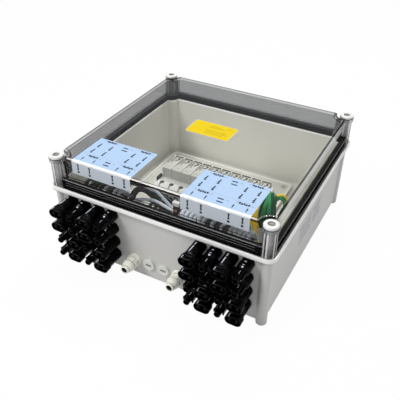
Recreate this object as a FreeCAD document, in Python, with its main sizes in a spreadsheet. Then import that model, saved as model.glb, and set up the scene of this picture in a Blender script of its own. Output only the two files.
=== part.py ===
import FreeCAD, Part
import math
import os
import re
import Sketcher
from FreeCAD import Placement, Rotation, Vector

# Solar combiner box: a moulded base with a clear lid, a row of ten surge
# modules on a rail, thirty-two panel sockets, two cable glands and two plugs.
# The box lies on its back as it does on a bench. X runs along the socket wall,
# -Y is the way the sockets face, +Z is the way the lid faces. The origin is the
# middle of the plane of the four feet, and every size is in millimetres.

SIZES = [
    ("screw_span_x", 330, "between the lid screw axes along X"),
    ("screw_span_y", 324, "between the lid screw axes along Y"),
    ("wall_outset", 4, "outer wall face beyond the screw axes"),
    ("wall_thickness", 4.5, "moulded wall"),
    ("floor_thickness", 5, "moulded floor"),
    ("foot_height", 6, "columns below the floor"),
    ("column_radius", 8, "corner columns"),
    ("corner_post", 14.5, "inner corner posts about the lid screws"),
    ("corner_sides", 16, "flat sides that stand for a full round about a lid screw axis"),
    ("floor_bevel", 4, "bevel between floor and walls"),
    ("rim_top", 125, "top of the base rim above the feet"),
    ("rim_depth", 8, "height of the outer rim"),
    ("rim_width", 3, "bead of the outer rim"),
    ("rim_bevel", 2, "lower bevel of the outer rim"),
    ("bead_bevel", 0.9, "upper bevel of the bead"),
    ("trough_depth", 4, "seal trough below the bead"),
    ("lip_thickness", 2.6, "inner lip that presses into the seal"),
    ("lip_rise", 2, "inner lip above the bead"),
    ("lid_height", 47, "lid top above the bead"),
    ("lid_outset", 1, "upper lid wall face beyond the screw axes"),
    ("lid_wall", 3, "clear lid wall"),
    ("lid_skin", 3.5, "clear lid top"),
    ("lid_notch", 16, "round bay of the lid about each lid screw"),
    ("lid_edge_bevel", 0.9, "bevel of the upper lid edges"),
    ("shoulder_height", 16, "lid shoulder above the bead"),
    ("shoulder_thickness", 2.5, "lid shoulder"),
    ("skirt_wall", 2.5, "lid skirt round the seal"),
    ("skirt_gap", 0.5, "skirt and tubes off the bead and the trough"),
    ("tube_radius", 9.5, "clear screw tubes, and the skirt beyond the screw axes"),
    ("collar_radius", 11, "collar of the screw tubes"),
    ("collar_height", 5.4, "collar of the screw tubes"),
    ("tube_drop", 3.6, "collar top below the lid top"),
    ("seal_gap", 0.3, "seal off the skirt, the tubes and the lip"),
    ("seal_overlap", 0.5, "seal edge back from the inner face of the lip"),
    ("seal_leg", 3, "seal leg down outside the lip, below the bead"),
    ("screw_head_radius", 10.3, "lid screw head"),
    ("screw_head_height", 4.1, "lid screw head"),
    ("screw_head_bevel", 1.1, "bevel of the lid screw head"),
    ("screw_recess_radius", 5, "recess in the lid screw head"),
    ("screw_recess_depth", 2, "recess in the lid screw head"),
    ("stem_radius", 4.75, "lid screw stem"),
    ("stem_clearance", 0.6, "stem in its tube"),
    ("thread_radius", 4.1, "lid screw thread"),
    ("thread_clearance", 0.6, "thread in its column"),
    ("thread_length", 34, "lid screw thread below the tube"),
    ("washer_thickness", 0.8, "seal washer under a lid screw head"),
    ("washer_radius", 11, "seal washer under a lid screw head"),
    ("back_hole_radius", 2.6, "fixing holes in the feet"),
    ("back_hole_depth", 14, "fixing holes in the feet"),
    ("plate_gap_x", 12.5, "mounting plate off the left wall"),
    ("plate_gap_y", 13.5, "mounting plate off the front and back walls"),
    ("plate_margin", 4, "mounting plate beyond the right end of the modules"),
    ("plate_corner", 5, "cut corners of the mounting plate"),
    ("tray_corner", 3.5, "inner corners of the raised border"),
    ("plate_thickness", 2, "mounting plate"),
    ("plate_lip", 2.5, "raised border of the mounting plate"),
    ("plate_lip_height", 2, "raised border of the mounting plate"),
    ("boss_height", 6, "bosses that carry the mounting plate"),
    ("boss_radius", 5, "bosses that carry the mounting plate"),
    ("boss_inset", 13, "boss axes inside the plate edges"),
    ("plate_screw_radius", 1.9, "mounting plate screws"),
    ("plate_hole_gap", 0.5, "mounting plate screws in the plate"),
    ("plate_screw_length", 4.5, "mounting plate screws below the plate"),
    ("plate_screw_head", 4, "mounting plate screw heads"),
    ("plate_screw_head_height", 2.4, "mounting plate screw heads"),
    ("small_clearance", 0.08, "small screws in their holes"),
    ("rail_y", 12, "rail axis along Y"),
    ("rail_stub_left", 14, "rail beyond the left end of the modules"),
    ("rail_stub_right", 1, "rail beyond the right end of the modules"),
    ("rail_screw_inset", 6, "rail screws from the rail ends"),
    ("rail_width", 35, "top hat rail"),
    ("rail_crown", 27, "inner width of the top hat"),
    ("rail_height", 7.5, "top hat rail"),
    ("rail_sheet", 1, "top hat rail"),
    ("module_pitch", 18, "one module along the rail"),
    ("module_count", 10, "modules on the rail"),
    ("module_gap", 0.2, "gap between two modules"),
    ("module_front", 33, "module face in front of the middle"),
    ("module_back", 57, "module face behind the middle"),
    ("module_bottom_gap", 1.5, "module above the plate"),
    ("module_shoulder", 52, "shoulder top above the plate"),
    ("nose_front", 0, "cartridge front face along Y"),
    ("nose_depth", 45, "cartridge along Y"),
    ("nose_height", 66, "cartridge top above the plate"),
    ("seat_height", 27, "cartridge seat above the plate"),
    ("seat_gap", 0.3, "cartridge above and behind its seat"),
    ("cartridge_gap", 0.2, "cartridge inside the module sides"),
    ("jaw_gap", 0.2, "cartridge blades in their jaws"),
    ("blade_width", 6, "cartridge contact blades"),
    ("blade_thickness", 1.5, "cartridge contact blades"),
    ("blade_length", 7, "cartridge contact blades"),
    ("blade_spacing", 28, "between the two blades of a cartridge"),
    ("terminal_radius", 3, "terminal screw wells"),
    ("terminal_depth", 6, "terminal screw wells"),
    ("terminal_mouth", 7, "square wire mouths of the modules"),
    ("mouth_rise", 5, "wire mouths above the cartridge seat"),
    ("mouth_depth", 9, "wire mouths of the modules"),
    ("terminal_inset", 15, "front terminal screw wells behind the module face"),
    ("back_terminal_inset", 7, "back terminal screw wells in front of the module back"),
    ("clip_gap", 0.3, "module round the rail"),
    ("slot_width", 1.3, "slots in the cartridge top"),
    ("slot_length", 17, "slots in the cartridge top"),
    ("slot_depth", 1.2, "slots in the cartridge top"),
    ("slot_offset", 5.5, "first slot left of the cartridge middle"),
    ("slot_pitch", 3.2, "between the two slots"),
    ("slot_inset", 2.5, "slots in front of the bay"),
    ("bay_depth", 4, "dark bay at the back of a cartridge"),
    ("bay_height", 5, "dark bay at the back of a cartridge"),
    ("bay_wall", 1.5, "side walls of the bay"),
    ("bay_inset", 1.2, "back wall of the bay"),
    ("socket_pitch_x", 23.3, "socket columns"),
    ("socket_pitch_z", 24, "socket rows"),
    ("socket_group_x", 106, "middle of a socket group from the box middle"),
    ("socket_low_z", 31.7, "lowest socket row above the feet"),
    ("socket_rows", 4, "socket rows"),
    ("socket_columns", 4, "socket columns in a group"),
    ("socket_shell", 9.8, "shell of the wide sockets"),
    ("socket_shell_length", 26, "shell of the wide sockets"),
    ("flare_taper", 4.5, "taper from the shell to the mouth of the wide sockets"),
    ("socket_length", 41, "sockets out of the wall"),
    ("flare_width", 24, "mouth of the wide sockets"),
    ("flare_height", 14.5, "mouth of the wide sockets"),
    ("flare_wall", 1.7, "mouth of the wide sockets"),
    ("flare_depth", 11, "hollow of the wide sockets"),
    ("cap_radius", 9.5, "cap of the narrow sockets"),
    ("cap_length", 17, "cap of the narrow sockets"),
    ("cap_shoulder", 4, "tapered shoulder of the cap"),
    ("cap_nose_radius", 7, "front of the cap"),
    ("spout_radius", 4.6, "tube of the narrow sockets"),
    ("spout_bore", 2.7, "bore of the narrow sockets"),
    ("spout_bore_depth", 12, "bore of the narrow sockets"),
    ("finger_reach", 7.2, "latch fingers from the socket axis"),
    ("finger_thickness", 1.8, "latch fingers"),
    ("finger_height", 5, "latch fingers"),
    ("finger_length", 13, "latch fingers"),
    ("shank_radius", 6, "corners of the square socket shank in the wall"),
    ("shank_clearance", 0.1, "socket shank in the wall"),
    ("socket_nut_radius", 8, "nut on a socket shank"),
    ("socket_nut_height", 7, "nut on a socket shank"),
    ("entry_z", 32.5, "glands and plugs above the feet"),
    ("entry_pitch", 25, "between glands and plugs"),
    ("entry_thread", 7.9, "gland and plug threads"),
    ("entry_clearance", 0.1, "gland and plug threads in the wall"),
    ("gland_flange_radius", 10.6, "hexagon of a gland body"),
    ("gland_flange", 6, "hexagon of a gland body"),
    ("gland_neck_radius", 8, "neck of a gland body under its cap"),
    ("gland_neck", 11, "neck of a gland body"),
    ("gland_bore", 4, "cable bore of a gland"),
    ("gland_cap_radius", 9.6, "cap nut of a gland"),
    ("gland_cap_length", 14, "cap nut of a gland"),
    ("gland_tip_radius", 6.6, "tip of a cap nut"),
    ("gland_dome_length", 5, "dome of a cap nut"),
    ("dome_step", 0.4, "step between skirt and dome of a cap nut"),
    ("gland_tip_length", 3.5, "tip of a cap nut"),
    ("cap_nut_gap", 0.35, "cap nut round the neck of its gland"),
    ("gland_gap", 0.4, "between the cap nut and the hexagon"),
    ("entry_nut_radius", 10.5, "lock nuts of glands and plugs"),
    ("entry_nut", 5, "lock nuts of glands and plugs"),
    ("thread_reach", 8, "gland and plug threads past the inner wall face"),
    ("plug_radius", 9.2, "blanking plugs"),
    ("plug_height", 3.5, "blanking plugs"),
    ("plug_slot", 1.6, "coin slot of a plug"),
    ("plug_slot_length", 11, "coin slot of a plug"),
    ("plug_slot_depth", 1.5, "coin slot of a plug"),
    ("strip_x", -40, "first way of the terminal strip"),
    ("strip_y", -92, "terminal strip along Y"),
    ("strip_ways", 4, "ways of the terminal strip"),
    ("strip_pitch", 10, "ways of the terminal strip"),
    ("strip_depth", 22, "terminal strip along Y"),
    ("strip_height", 24, "terminal strip above the plate"),
    ("strip_mouth", 8, "wire mouths of the terminal strip, above and along Y"),
    ("strip_mouth_width", 7.4, "wire mouths of the terminal strip along X"),
    ("strip_mouth_drop", 11, "floor of the wire mouths below the strip top"),
    ("strip_well", 2.8, "screw wells of the terminal strip"),
    ("strip_well_depth", 2, "screw wells of the terminal strip"),
    ("strip_well_shift", 3, "screw wells behind the middle of the strip"),
    ("strip_jaw", 5, "clamps of the terminal strip"),
    ("strip_jaw_depth", 4, "clamps of the terminal strip along Y"),
    ("earth_x", 122, "earth bar from the middle"),
    ("earth_front", -95, "front end of the earth bar"),
    ("earth_length", 90, "earth bar"),
    ("earth_width", 9, "earth bar"),
    ("earth_thickness", 6, "earth bar"),
    ("earth_post_height", 14, "posts under the earth bar"),
    ("earth_post_width", 12, "posts under the earth bar"),
    ("earth_screw_count", 7, "screws of the earth bar"),
    ("earth_screw_radius", 2.6, "screws of the earth bar"),
    ("earth_screw_height", 2.2, "screws of the earth bar"),
    ("label_thickness", 0.4, "stickers"),
    ("label_near", 39, "inner edge of the string labels from the middle"),
    ("label_width", 99, "string labels along X"),
    ("label_top_depth", 69, "string labels on the lid top"),
    ("label_fold", 22, "string labels down the lid wall"),
    ("plaque_x", -4, "yellow label middle along X"),
    ("plaque_y", 11, "yellow label middle along Y"),
    ("plaque_width", 73, "yellow label"),
    ("plaque_depth", 42, "yellow label"),
    ("plaque_corner", 2.5, "cut corners of the yellow label"),
    ("side_label_y", 11, "side label middle along Y"),
    ("side_label_z", 62, "side label middle above the feet"),
    ("side_label_length", 98, "side label"),
    ("side_label_height", 32, "side label"),
    ("loom_run", 22, "string looms straight out of the socket nuts"),
    ("loom_peak_x", 70, "peak of a string loom from the middle"),
    ("loom_peak_y", 92, "peak of a string loom in front of the middle"),
    ("loom_peak_z", 120, "peak of a string loom above the feet"),
    ("loom_end_x", 54, "end of a string loom from the middle"),
    ("loom_end_run", 27, "string looms straight into the modules"),
    ("loom_end_height", 42, "end of a string loom above the plate"),
    ("earth_loom_start", 12, "earth loom behind the front end of the bar"),
    ("earth_loom_rise", 66, "first bend of the earth loom above the bar"),
    ("earth_loom_step", 14, "first bend of the earth loom along the bar"),
    ("earth_loom_reach", 96, "second bend of the earth loom along the bar"),
    ("earth_loom_peak", 76, "second bend of the earth loom above the bar"),
    ("earth_loom_lean", 12, "lean of the earth loom towards the modules"),
    ("earth_loom_back", 34, "bend of the earth loom behind the modules"),
    ("earth_loom_run", 16, "earth loom straight into the last module"),
    ("earth_loom_end", 38, "end of the earth loom above the plate"),
    ("loom_radius", 7, "wire looms"),
    ("loom_sides", 4, "sides of a wire loom"),
    ("loom_steps", 3, "flat steps round each bend of a wire loom"),
    ("earth_loom_radius", 6, "earth wire loom"),
]

doc = FreeCAD.newDocument("CombinerBox")
VALUES = {name: value for name, value, note in SIZES}
NODES = []


def write_sheet():
    """Driving sizes, one row each: name, value, meaning."""
    sheet = doc.addObject("Spreadsheet::Sheet", "Sizes")
    for row, (name, value, note) in enumerate(SIZES, start=1):
        sheet.set("A%d" % row, name)
        sheet.set("B%d" % row, str(value))
        sheet.set("C%d" % row, note)
        sheet.setAlias("B%d" % row, name)
    doc.recompute()
    return sheet


sheet = write_sheet()


def size(name):
    """The number that the sheet holds for a driving size."""
    return float(getattr(sheet, name))


# Expressions that several pieces share.
HALF_X = "screw_span_x / 2"
HALF_Y = "screw_span_y / 2"
WALL_X = "(" + HALF_X + " + wall_outset)"
WALL_Y = "(" + HALF_Y + " + wall_outset)"
FLOOR_TOP = "(foot_height + floor_thickness)"
LID_TOP = "(rim_top + lid_height)"
PLATE_BOTTOM = "(" + FLOOR_TOP + " + boss_height)"
PLATE_TOP = "(" + PLATE_BOTTOM + " + plate_thickness)"
PLATE_DEPTH = "(" + HALF_Y + " + wall_outset - wall_thickness - plate_gap_y)"
PLATE_LEFT = "(" + HALF_X + " + wall_outset - wall_thickness - plate_gap_x)"
ROW_END = "(module_count * module_pitch / 2)"
PLATE_RIGHT = "(" + ROW_END + " + plate_margin)"
TUBE_TOP = "(" + LID_TOP + " - tube_drop)"
TROUGH = "(rim_top - trough_depth)"
TUBE_BOTTOM = "(" + TROUGH + " + skirt_gap)"
SHOULDER = "(rim_top + shoulder_height)"
WALL_FACE = "(wall_outset - wall_thickness)"
CORNERS = [("front_left", -1, -1), ("front_right", 1, -1), ("back_left", -1, 1), ("back_right", 1, 1)]


def linked(expression):
    """The expression with every driving size named by its sheet."""
    text = str(expression)
    return re.sub(r"[a-z][a-z0-9_]*[a-z0-9]", lambda hit: "Sizes." + hit.group(0) if hit.group(0) in VALUES
                  else hit.group(0), text)


def bind(item, values):
    """Tie the properties of an object to expressions of the sheet."""
    for path, expression in values.items():
        item.setExpression(path, linked(expression))


def place(item, at, rotation=None):
    """Bind the place of an object, turned first where a rotation is given."""
    if rotation is not None:
        item.Placement = Placement(Vector(), rotation)
    for axis, expression in zip("xyz", at):
        item.setExpression(".Placement.Base." + axis, linked(expression))


def block(name, sizes, at, rotation=None):
    """A box from its low corner."""
    box = doc.addObject("Part::Box", name)
    bind(box, dict(zip(("Length", "Width", "Height"), sizes)))
    place(box, at, rotation)
    return box


def middle_block(name, sizes, at):
    """A box centred in X and Y, standing on a height."""
    x, y, z = at
    return block(name, sizes, ("%s - (%s) / 2" % (x, sizes[0]), "%s - (%s) / 2" % (y, sizes[1]), z))


def rod(name, radius, length, at, rotation=None):
    """A round bar from the middle of its first end."""
    bar = doc.addObject("Part::Cylinder", name)
    bind(bar, {"Radius": radius, "Height": length})
    place(bar, at, rotation)
    return bar


def prism(name, sides, radius, length, at, rotation=None):
    """A regular prism from the middle of its first end."""
    bar = doc.addObject("Part::Prism", name)
    bar.Polygon = sides
    bind(bar, {"Circumradius": radius, "Height": length})
    place(bar, at, rotation)
    return bar


def fuse(name, pieces):
    """One piece from several that meet."""
    joined = doc.addObject("Part::MultiFuse", name)
    joined.Shapes = pieces
    joined.Refine = True
    return joined


def cut(name, piece, tools):
    """A piece less its tools."""
    tool = tools[0] if len(tools) == 1 else fuse(name + "_tools", tools)
    result = doc.addObject("Part::Cut", name)
    result.Base = piece
    result.Tool = tool
    result.Refine = True
    return result


def solid(name, shape, placement=None):
    """A piece whose shape is worked out by the functions below."""
    feature = doc.addObject("Part::Feature", name)
    feature.Shape = shape
    if placement is not None:
        feature.Placement = placement
    return feature


def node(item, name):
    """Mark an object as a sub-part with a name of its own."""
    item.Label = name
    NODES.append((item, name))
    return item


TO_FRONT = Rotation(Vector(1, 0, 0), 90)
TO_BACK = Rotation(Vector(1, 0, 0), -90)


def notched_block(name, half_x, half_y, radius, bottom, height):
    """A block with a many-sided bay about each lid screw axis."""
    box = middle_block(name + "_full", ("2 * (%s)" % half_x, "2 * (%s)" % half_y, height), ("0", "0", bottom))
    return cut(name, box, corner_prisms(name + "_bay", radius, bottom, height))


def rounded_block(name, radius, bottom, height):
    """A block with its corners rounded about the lid screw axes."""
    along_x = middle_block(name + "_x", ("screw_span_x + 2 * (%s)" % radius, "screw_span_y", height),
                           ("0", "0", bottom))
    along_y = middle_block(name + "_y", ("screw_span_x", "screw_span_y + 2 * (%s)" % radius, height),
                           ("0", "0", bottom))
    return fuse(name, [along_x, along_y] + corner_prisms(name + "_round", radius, bottom, height))


def corner_places(bottom):
    """The four lid screw axes at a height, with the name of each corner."""
    return [(corner, ("%d * %s" % (side_x, HALF_X), "%d * %s" % (side_y, HALF_Y), bottom))
            for corner, side_x, side_y in CORNERS]


def corner_rods(name, radius, bottom, height):
    """Four equal round bars on the lid screw axes."""
    return [rod(name + "_" + corner, radius, height, at) for corner, at in corner_places(bottom)]


def corner_prisms(name, radius, bottom, height, sides="corner_sides"):
    """Four equal prisms on the lid screw axes, with an edge on each of the two middle planes of the axis."""
    count = int(size(sides)) if isinstance(sides, str) else sides
    return [prism(name + "_" + corner, count, radius, height, at) for corner, at in corner_places(bottom)]


def bevelled(name, item, width, wanted):
    """Bevel the edges that the test picks from a finished piece, by a driving size."""
    doc.recompute()
    edges = [(index, size(width), size(width)) for index, edge in enumerate(item.Shape.Edges, start=1)
             if wanted(edge)]
    result = doc.addObject("Part::Chamfer", name)
    result.Base = item
    result.Edges = edges
    return result


def level_edge(height):
    """A test for edges that lie at one height."""
    def wanted(edge):
        box = edge.BoundBox
        return abs(box.ZMin - height) < 1e-4 and abs(box.ZMax - height) < 1e-4
    return wanted


# Sockets

def socket_places():
    """Column and row places of both socket groups: name, X, row, Z, wide or narrow."""
    places = []
    columns = int(size("socket_columns"))
    rows = int(size("socket_rows"))
    for group, side in (("left", -1), ("right", 1)):
        for row in range(rows):
            z = size("socket_low_z") + (rows - 1 - row) * size("socket_pitch_z")
            for column in range(columns):
                x = side * size("socket_group_x") + (column - (columns - 1) / 2) * size("socket_pitch_x")
                wide = (column % 2 == 0) == (row < rows / 2)
                places.append((group, x, row + 1, z, wide))
    return places


def ring_points(sides, radius, distance):
    """Corners of a regular outline about the -Y axis at a distance from the wall face."""
    points = []
    for index in range(sides):
        angle = 2 * math.pi * (index + 0.5) / sides
        points.append(Vector(radius * math.cos(angle), -distance, radius * math.sin(angle)))
    return points


def facing_prism(sides, radius, start, end):
    """A regular prism about the -Y axis between two distances from the wall face."""
    return flat_face(ring_points(sides, radius, start)).extrude(Vector(0, start - end, 0))


def flat_face(points):
    """A flat face with the given corners."""
    return Part.Face(Part.makePolygon(points + points[:1]))


def mouth_points(width, height, distance):
    """Corners of an oblong outline with cut corners about the -Y axis, in the order of an eight-sided ring."""
    half_w = width / 2
    half_h = height / 2
    bevel = half_h * 0.6
    right = [(half_w, half_h - bevel), (half_w - bevel, half_h)]
    top = right + [(-x, z) for x, z in reversed(right)]
    outline = top + [(-x, -z) for x, z in top]
    return [Vector(x, -distance, z) for x, z in outline]


def between(first, last):
    """A solid between two facing outlines whose sides are parallel one for one."""
    faces = [flat_face(first), flat_face(last)]
    for index in range(len(first)):
        after = (index + 1) % len(first)
        faces.append(flat_face([first[index], first[after], last[after], last[index]]))
    return Part.Solid(Part.Shell(faces))


def facing_taper(sides, radius, end_radius, start, end):
    """A regular taper with flat sides about the -Y axis between two distances from the wall face."""
    return between(ring_points(sides, radius, start), ring_points(sides, end_radius, end))


def facing_mouth(width, height, start, end):
    """An oblong prism with cut corners about the -Y axis."""
    return flat_face(mouth_points(width, height, start)).extrude(Vector(0, start - end, 0))


def socket_rear():
    """Square shank through the wall with its nut on the inside."""
    wall = size("wall_thickness")
    shank = facing_prism(4, size("shank_radius"), -wall - 1, 0)
    nut = facing_prism(6, size("socket_nut_radius"), -wall - size("socket_nut_height"), -wall)
    return shank.fuse(nut)


def wide_socket():
    """Eight-sided shell that tapers out into an oblong hollow mouth."""
    length = size("socket_length")
    shell_end = size("socket_shell_length")
    mouth_start = shell_end + size("flare_taper")
    width = size("flare_width")
    height = size("flare_height")
    wall = size("flare_wall")
    body = facing_prism(8, size("socket_shell"), 0, shell_end)
    flare = between(ring_points(8, size("socket_shell"), shell_end), mouth_points(width, height, mouth_start))
    mouth = facing_mouth(width, height, mouth_start, length)
    hollow = facing_mouth(width - 2 * wall, height - 2 * wall, length - size("flare_depth"), length + 1)
    return body.fuse([flare, mouth, socket_rear()]).cut(hollow).removeSplitter()


def narrow_socket():
    """Eight-sided cap with a tapered shoulder, an open tube and two latch fingers."""
    cap_end = size("cap_length")
    shoulder_end = cap_end + size("cap_shoulder")
    length = size("socket_length")
    cap = facing_prism(8, size("cap_radius"), 0, cap_end)
    shoulder = facing_taper(8, size("cap_radius"), size("cap_nose_radius"), cap_end, shoulder_end)
    spout = facing_prism(6, size("spout_radius"), shoulder_end - 1, length)
    bore = facing_prism(6, size("spout_bore"), length - size("spout_bore_depth"), length + 1)
    fingers = []
    for side in (-1, 1):
        finger = Part.makeBox(size("finger_thickness"), size("finger_length") + 1, size("finger_height"))
        inner = size("finger_reach") - size("finger_thickness")
        left = inner if side > 0 else -size("finger_reach")
        finger.translate(Vector(left, -shoulder_end - size("finger_length"), -size("finger_height") / 2))
        fingers.append(finger)
    return cap.fuse([shoulder, spout, socket_rear()] + fingers).cut(bore).removeSplitter()


def build_sockets():
    """One node for each row of each group."""
    wide = wide_socket()
    narrow = narrow_socket()
    wall_y = -(size("screw_span_y") / 2 + size("wall_outset"))
    rows = {}
    for group, x, row, z, is_wide in socket_places():
        piece = (wide if is_wide else narrow).copy()
        piece.translate(Vector(x, 0, z))
        rows.setdefault("sockets_%s_row_%d" % (group, row), []).append(piece)
    for name, pieces in rows.items():
        node(solid(name, Part.makeCompound(pieces), Placement(Vector(0, wall_y, 0), Rotation())), name)


def socket_cutouts():
    """Panel holes of the sockets as one tool."""
    wall_y = -(size("screw_span_y") / 2 + size("wall_outset"))
    radius = size("shank_radius") + size("shank_clearance")
    hole = facing_prism(4, radius, -size("wall_thickness") - 1, 1)
    holes = []
    for group, x, row, z, is_wide in socket_places():
        piece = hole.copy()
        piece.translate(Vector(x, wall_y, z))
        holes.append(piece)
    return solid("socket_cutouts", Part.makeCompound(holes))


# Base

def entry_offsets():
    """Places along X of the two glands and the two plugs between them."""
    return {"gland_left": "-1.5 * entry_pitch", "plug_left": "-0.5 * entry_pitch",
            "plug_right": "0.5 * entry_pitch", "gland_right": "1.5 * entry_pitch"}


def boss_places():
    """Four places of the plate bosses and their screws."""
    places = []
    for x in ("boss_inset - " + PLATE_LEFT, PLATE_RIGHT + " - boss_inset"):
        for y in ("boss_inset - " + PLATE_DEPTH, PLATE_DEPTH + " - boss_inset"):
            places.append((x, y))
    return places


def build_base():
    """Moulded base: walls, columns, rim, seal trough and lip, bosses and every hole."""
    walls = middle_block("base_walls", ("2 * " + WALL_X, "2 * " + WALL_Y, "rim_top - rim_depth - foot_height + 1"),
                         ("0", "0", "foot_height"))
    columns = corner_prisms("base_column", "column_radius", "0", "rim_top - rim_depth + 1")
    rim = rounded_block("base_rim_block", "tube_radius + skirt_gap + rim_width", "rim_top - rim_depth", "rim_depth")
    rim = bevelled("base_rim_low", rim, "rim_bevel", level_edge(size("rim_top") - size("rim_depth")))
    rim = bevelled("base_rim", rim, "bead_bevel", level_edge(size("rim_top")))
    trough = rounded_block("base_trough", "tube_radius + skirt_gap", TROUGH, "trough_depth + 1")
    lip = notched_block("base_lip", "%s + %s + lip_thickness" % (HALF_X, WALL_FACE),
                        "%s + %s + lip_thickness" % (HALF_Y, WALL_FACE), "corner_post - lip_thickness",
                        "rim_top - rim_depth", "rim_depth + lip_rise")
    outside = fuse("base_outside", [walls, cut("base_rim_open", rim, [trough]), lip] + columns)
    room = notched_block("base_room_block", "%s + %s" % (HALF_X, WALL_FACE), "%s + %s" % (HALF_Y, WALL_FACE),
                         "corner_post", FLOOR_TOP, "rim_top + lip_rise + 1 - " + FLOOR_TOP)
    room = bevelled("base_room", room, "floor_bevel", level_edge(size("foot_height") + size("floor_thickness")))
    screw_holes = corner_prisms("base_screw_hole", "thread_radius + thread_clearance",
                                TROUGH + " - thread_length - 2", "thread_length + 3", 8)
    back_holes = corner_rods("base_back_hole", "back_hole_radius", "0", "back_hole_depth")
    entries = []
    for name, x in entry_offsets().items():
        entries.append(prism("base_hole_" + name, 8, "entry_thread + entry_clearance", "wall_thickness + 4",
                             (x, "wall_thickness - " + WALL_Y, "entry_z"), TO_FRONT))
    hollow = cut("base_hollow", outside, [room] + screw_holes + back_holes + entries)
    walled = cut("base_pierced", hollow, [socket_cutouts()])
    bosses = []
    for index, (x, y) in enumerate(boss_places()):
        bosses.append(prism("base_boss_%d" % index, 8, "boss_radius", "boss_height + 1", (x, y, FLOOR_TOP + " - 1")))
    posts = []
    for index, y in enumerate(earth_post_places()):
        posts.append(middle_block("base_earth_post_%d" % index,
                                  ("earth_post_width", "earth_post_width", "earth_post_height + 1"),
                                  ("earth_x", y, FLOOR_TOP + " - 1")))
    bossed = fuse("base_bossed", [walled] + bosses + posts)
    pilots = []
    for index, (x, y) in enumerate(boss_places()):
        pilots.append(prism("base_pilot_%d" % index, 6, "plate_screw_radius + small_clearance", "plate_screw_length + 1",
                          (x, y, PLATE_BOTTOM + " - plate_screw_length - 1")))
    node(cut("base", bossed, pilots), "base_shell")


# Lid

def ring(name, outer, outer_notch, inner, inner_notch, bottom, height):
    """A ring between two notched outlines, given by their reach beyond the screw axes."""
    outline = notched_block(name + "_outer", "%s + %s" % (HALF_X, outer), "%s + %s" % (HALF_Y, outer), outer_notch,
                            bottom, height)
    hole = notched_block(name + "_inner", "%s + %s" % (HALF_X, inner), "%s + %s" % (HALF_Y, inner), inner_notch,
                         bottom, height)
    return cut(name, outline, [hole])


def build_lid():
    """Clear lid: deep shell with a bay at each corner, shoulder, skirt and four screw tubes."""
    upper = notched_block("lid_upper_block", HALF_X + " + lid_outset", HALF_Y + " + lid_outset", "lid_notch",
                          SHOULDER + " - shoulder_thickness", "lid_height - shoulder_height + shoulder_thickness")
    upper = bevelled("lid_upper", upper, "lid_edge_bevel", level_edge(size("rim_top") + size("lid_height")))
    lower = rounded_block("lid_lower", "tube_radius", TUBE_BOTTOM, SHOULDER + " - " + TUBE_BOTTOM)
    cavity = rounded_block("lid_lower_cavity", "tube_radius - skirt_wall", TUBE_BOTTOM + " - 1",
                           SHOULDER + " - shoulder_thickness - " + TUBE_BOTTOM + " + 1")
    lower = cut("lid_lower_shell", lower, [cavity])
    tubes = corner_prisms("lid_tube", "tube_radius", TUBE_BOTTOM, TUBE_TOP + " - " + TUBE_BOTTOM)
    collars = corner_prisms("lid_collar", "collar_radius", TUBE_TOP + " - collar_height", "collar_height")
    outside = fuse("lid_solid", [upper, lower] + tubes + collars)
    inside = notched_block("lid_inside", HALF_X + " + lid_outset - lid_wall", HALF_Y + " + lid_outset - lid_wall",
                           "lid_notch + lid_wall", "rim_top", "lid_height - lid_skin")
    bores = corner_prisms("lid_bore", "stem_radius + stem_clearance", TUBE_BOTTOM + " - 1",
                          TUBE_TOP + " - " + TUBE_BOTTOM + " + 2", 8)
    node(cut("lid", outside, [inside] + bores), "lid_shell")


def build_seal():
    """Black seal that fills the skirt, sits on the lip and has a leg down outside it."""
    outer = "tube_radius - skirt_wall - seal_gap"
    outer_notch = "tube_radius + seal_gap"
    lip_face = WALL_FACE + " + lip_thickness"
    body = ring("seal_body", outer, outer_notch, WALL_FACE + " + seal_overlap", "corner_post - seal_overlap",
                "rim_top + lip_rise", "shoulder_height - shoulder_thickness - lip_rise")
    leg = ring("seal_leg_ring", outer, outer_notch, lip_face + " + seal_gap", "corner_post - lip_thickness - seal_gap",
               "rim_top - seal_leg", "seal_leg + lip_rise")
    node(fuse("seal", [body, leg]), "lid_gasket")


def build_lid_screws():
    """Four white lid screws and the seal washers under their heads."""
    head_bottom = "(" + TUBE_TOP + " + washer_thickness)"
    washers = []
    for corner, side_x, side_y in CORNERS:
        x = "%d * %s" % (side_x, HALF_X)
        y = "%d * %s" % (side_y, HALF_Y)
        body = prism("screw_head_" + corner, 12, "screw_head_radius", "screw_head_height", (x, y, head_bottom))
        stem = prism("screw_stem_" + corner, 8, "stem_radius", head_bottom + " + 1 - " + TUBE_BOTTOM,
                     (x, y, TUBE_BOTTOM))
        thread = prism("screw_thread_" + corner, 8, "thread_radius", "thread_length + 1",
                       (x, y, TUBE_BOTTOM + " - thread_length"))
        whole = fuse("screw_whole_" + corner, [body, stem, thread])
        whole = bevelled("screw_bevelled_" + corner, whole, "screw_head_bevel",
                         level_edge(size("rim_top") + size("lid_height") - size("tube_drop") + size("washer_thickness")
                                    + size("screw_head_height")))
        recess = prism("screw_recess_" + corner, 8, "screw_recess_radius", "screw_recess_depth + 1",
                       (x, y, head_bottom + " + screw_head_height - screw_recess_depth"))
        node(cut("screw_" + corner, whole, [recess]), "lid_screw_" + corner)
        ring = prism("washer_ring_" + corner, 12, "washer_radius", "washer_thickness", (x, y, TUBE_TOP))
        hole = prism("washer_hole_" + corner, 8, "stem_radius + stem_clearance", "washer_thickness", (x, y, TUBE_TOP))
        washers.append(cut("washer_" + corner, ring, [hole]))
    compound = doc.addObject("Part::Compound", "washers")
    compound.Links = washers
    node(compound, "lid_screw_washers")


# Inside

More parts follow.
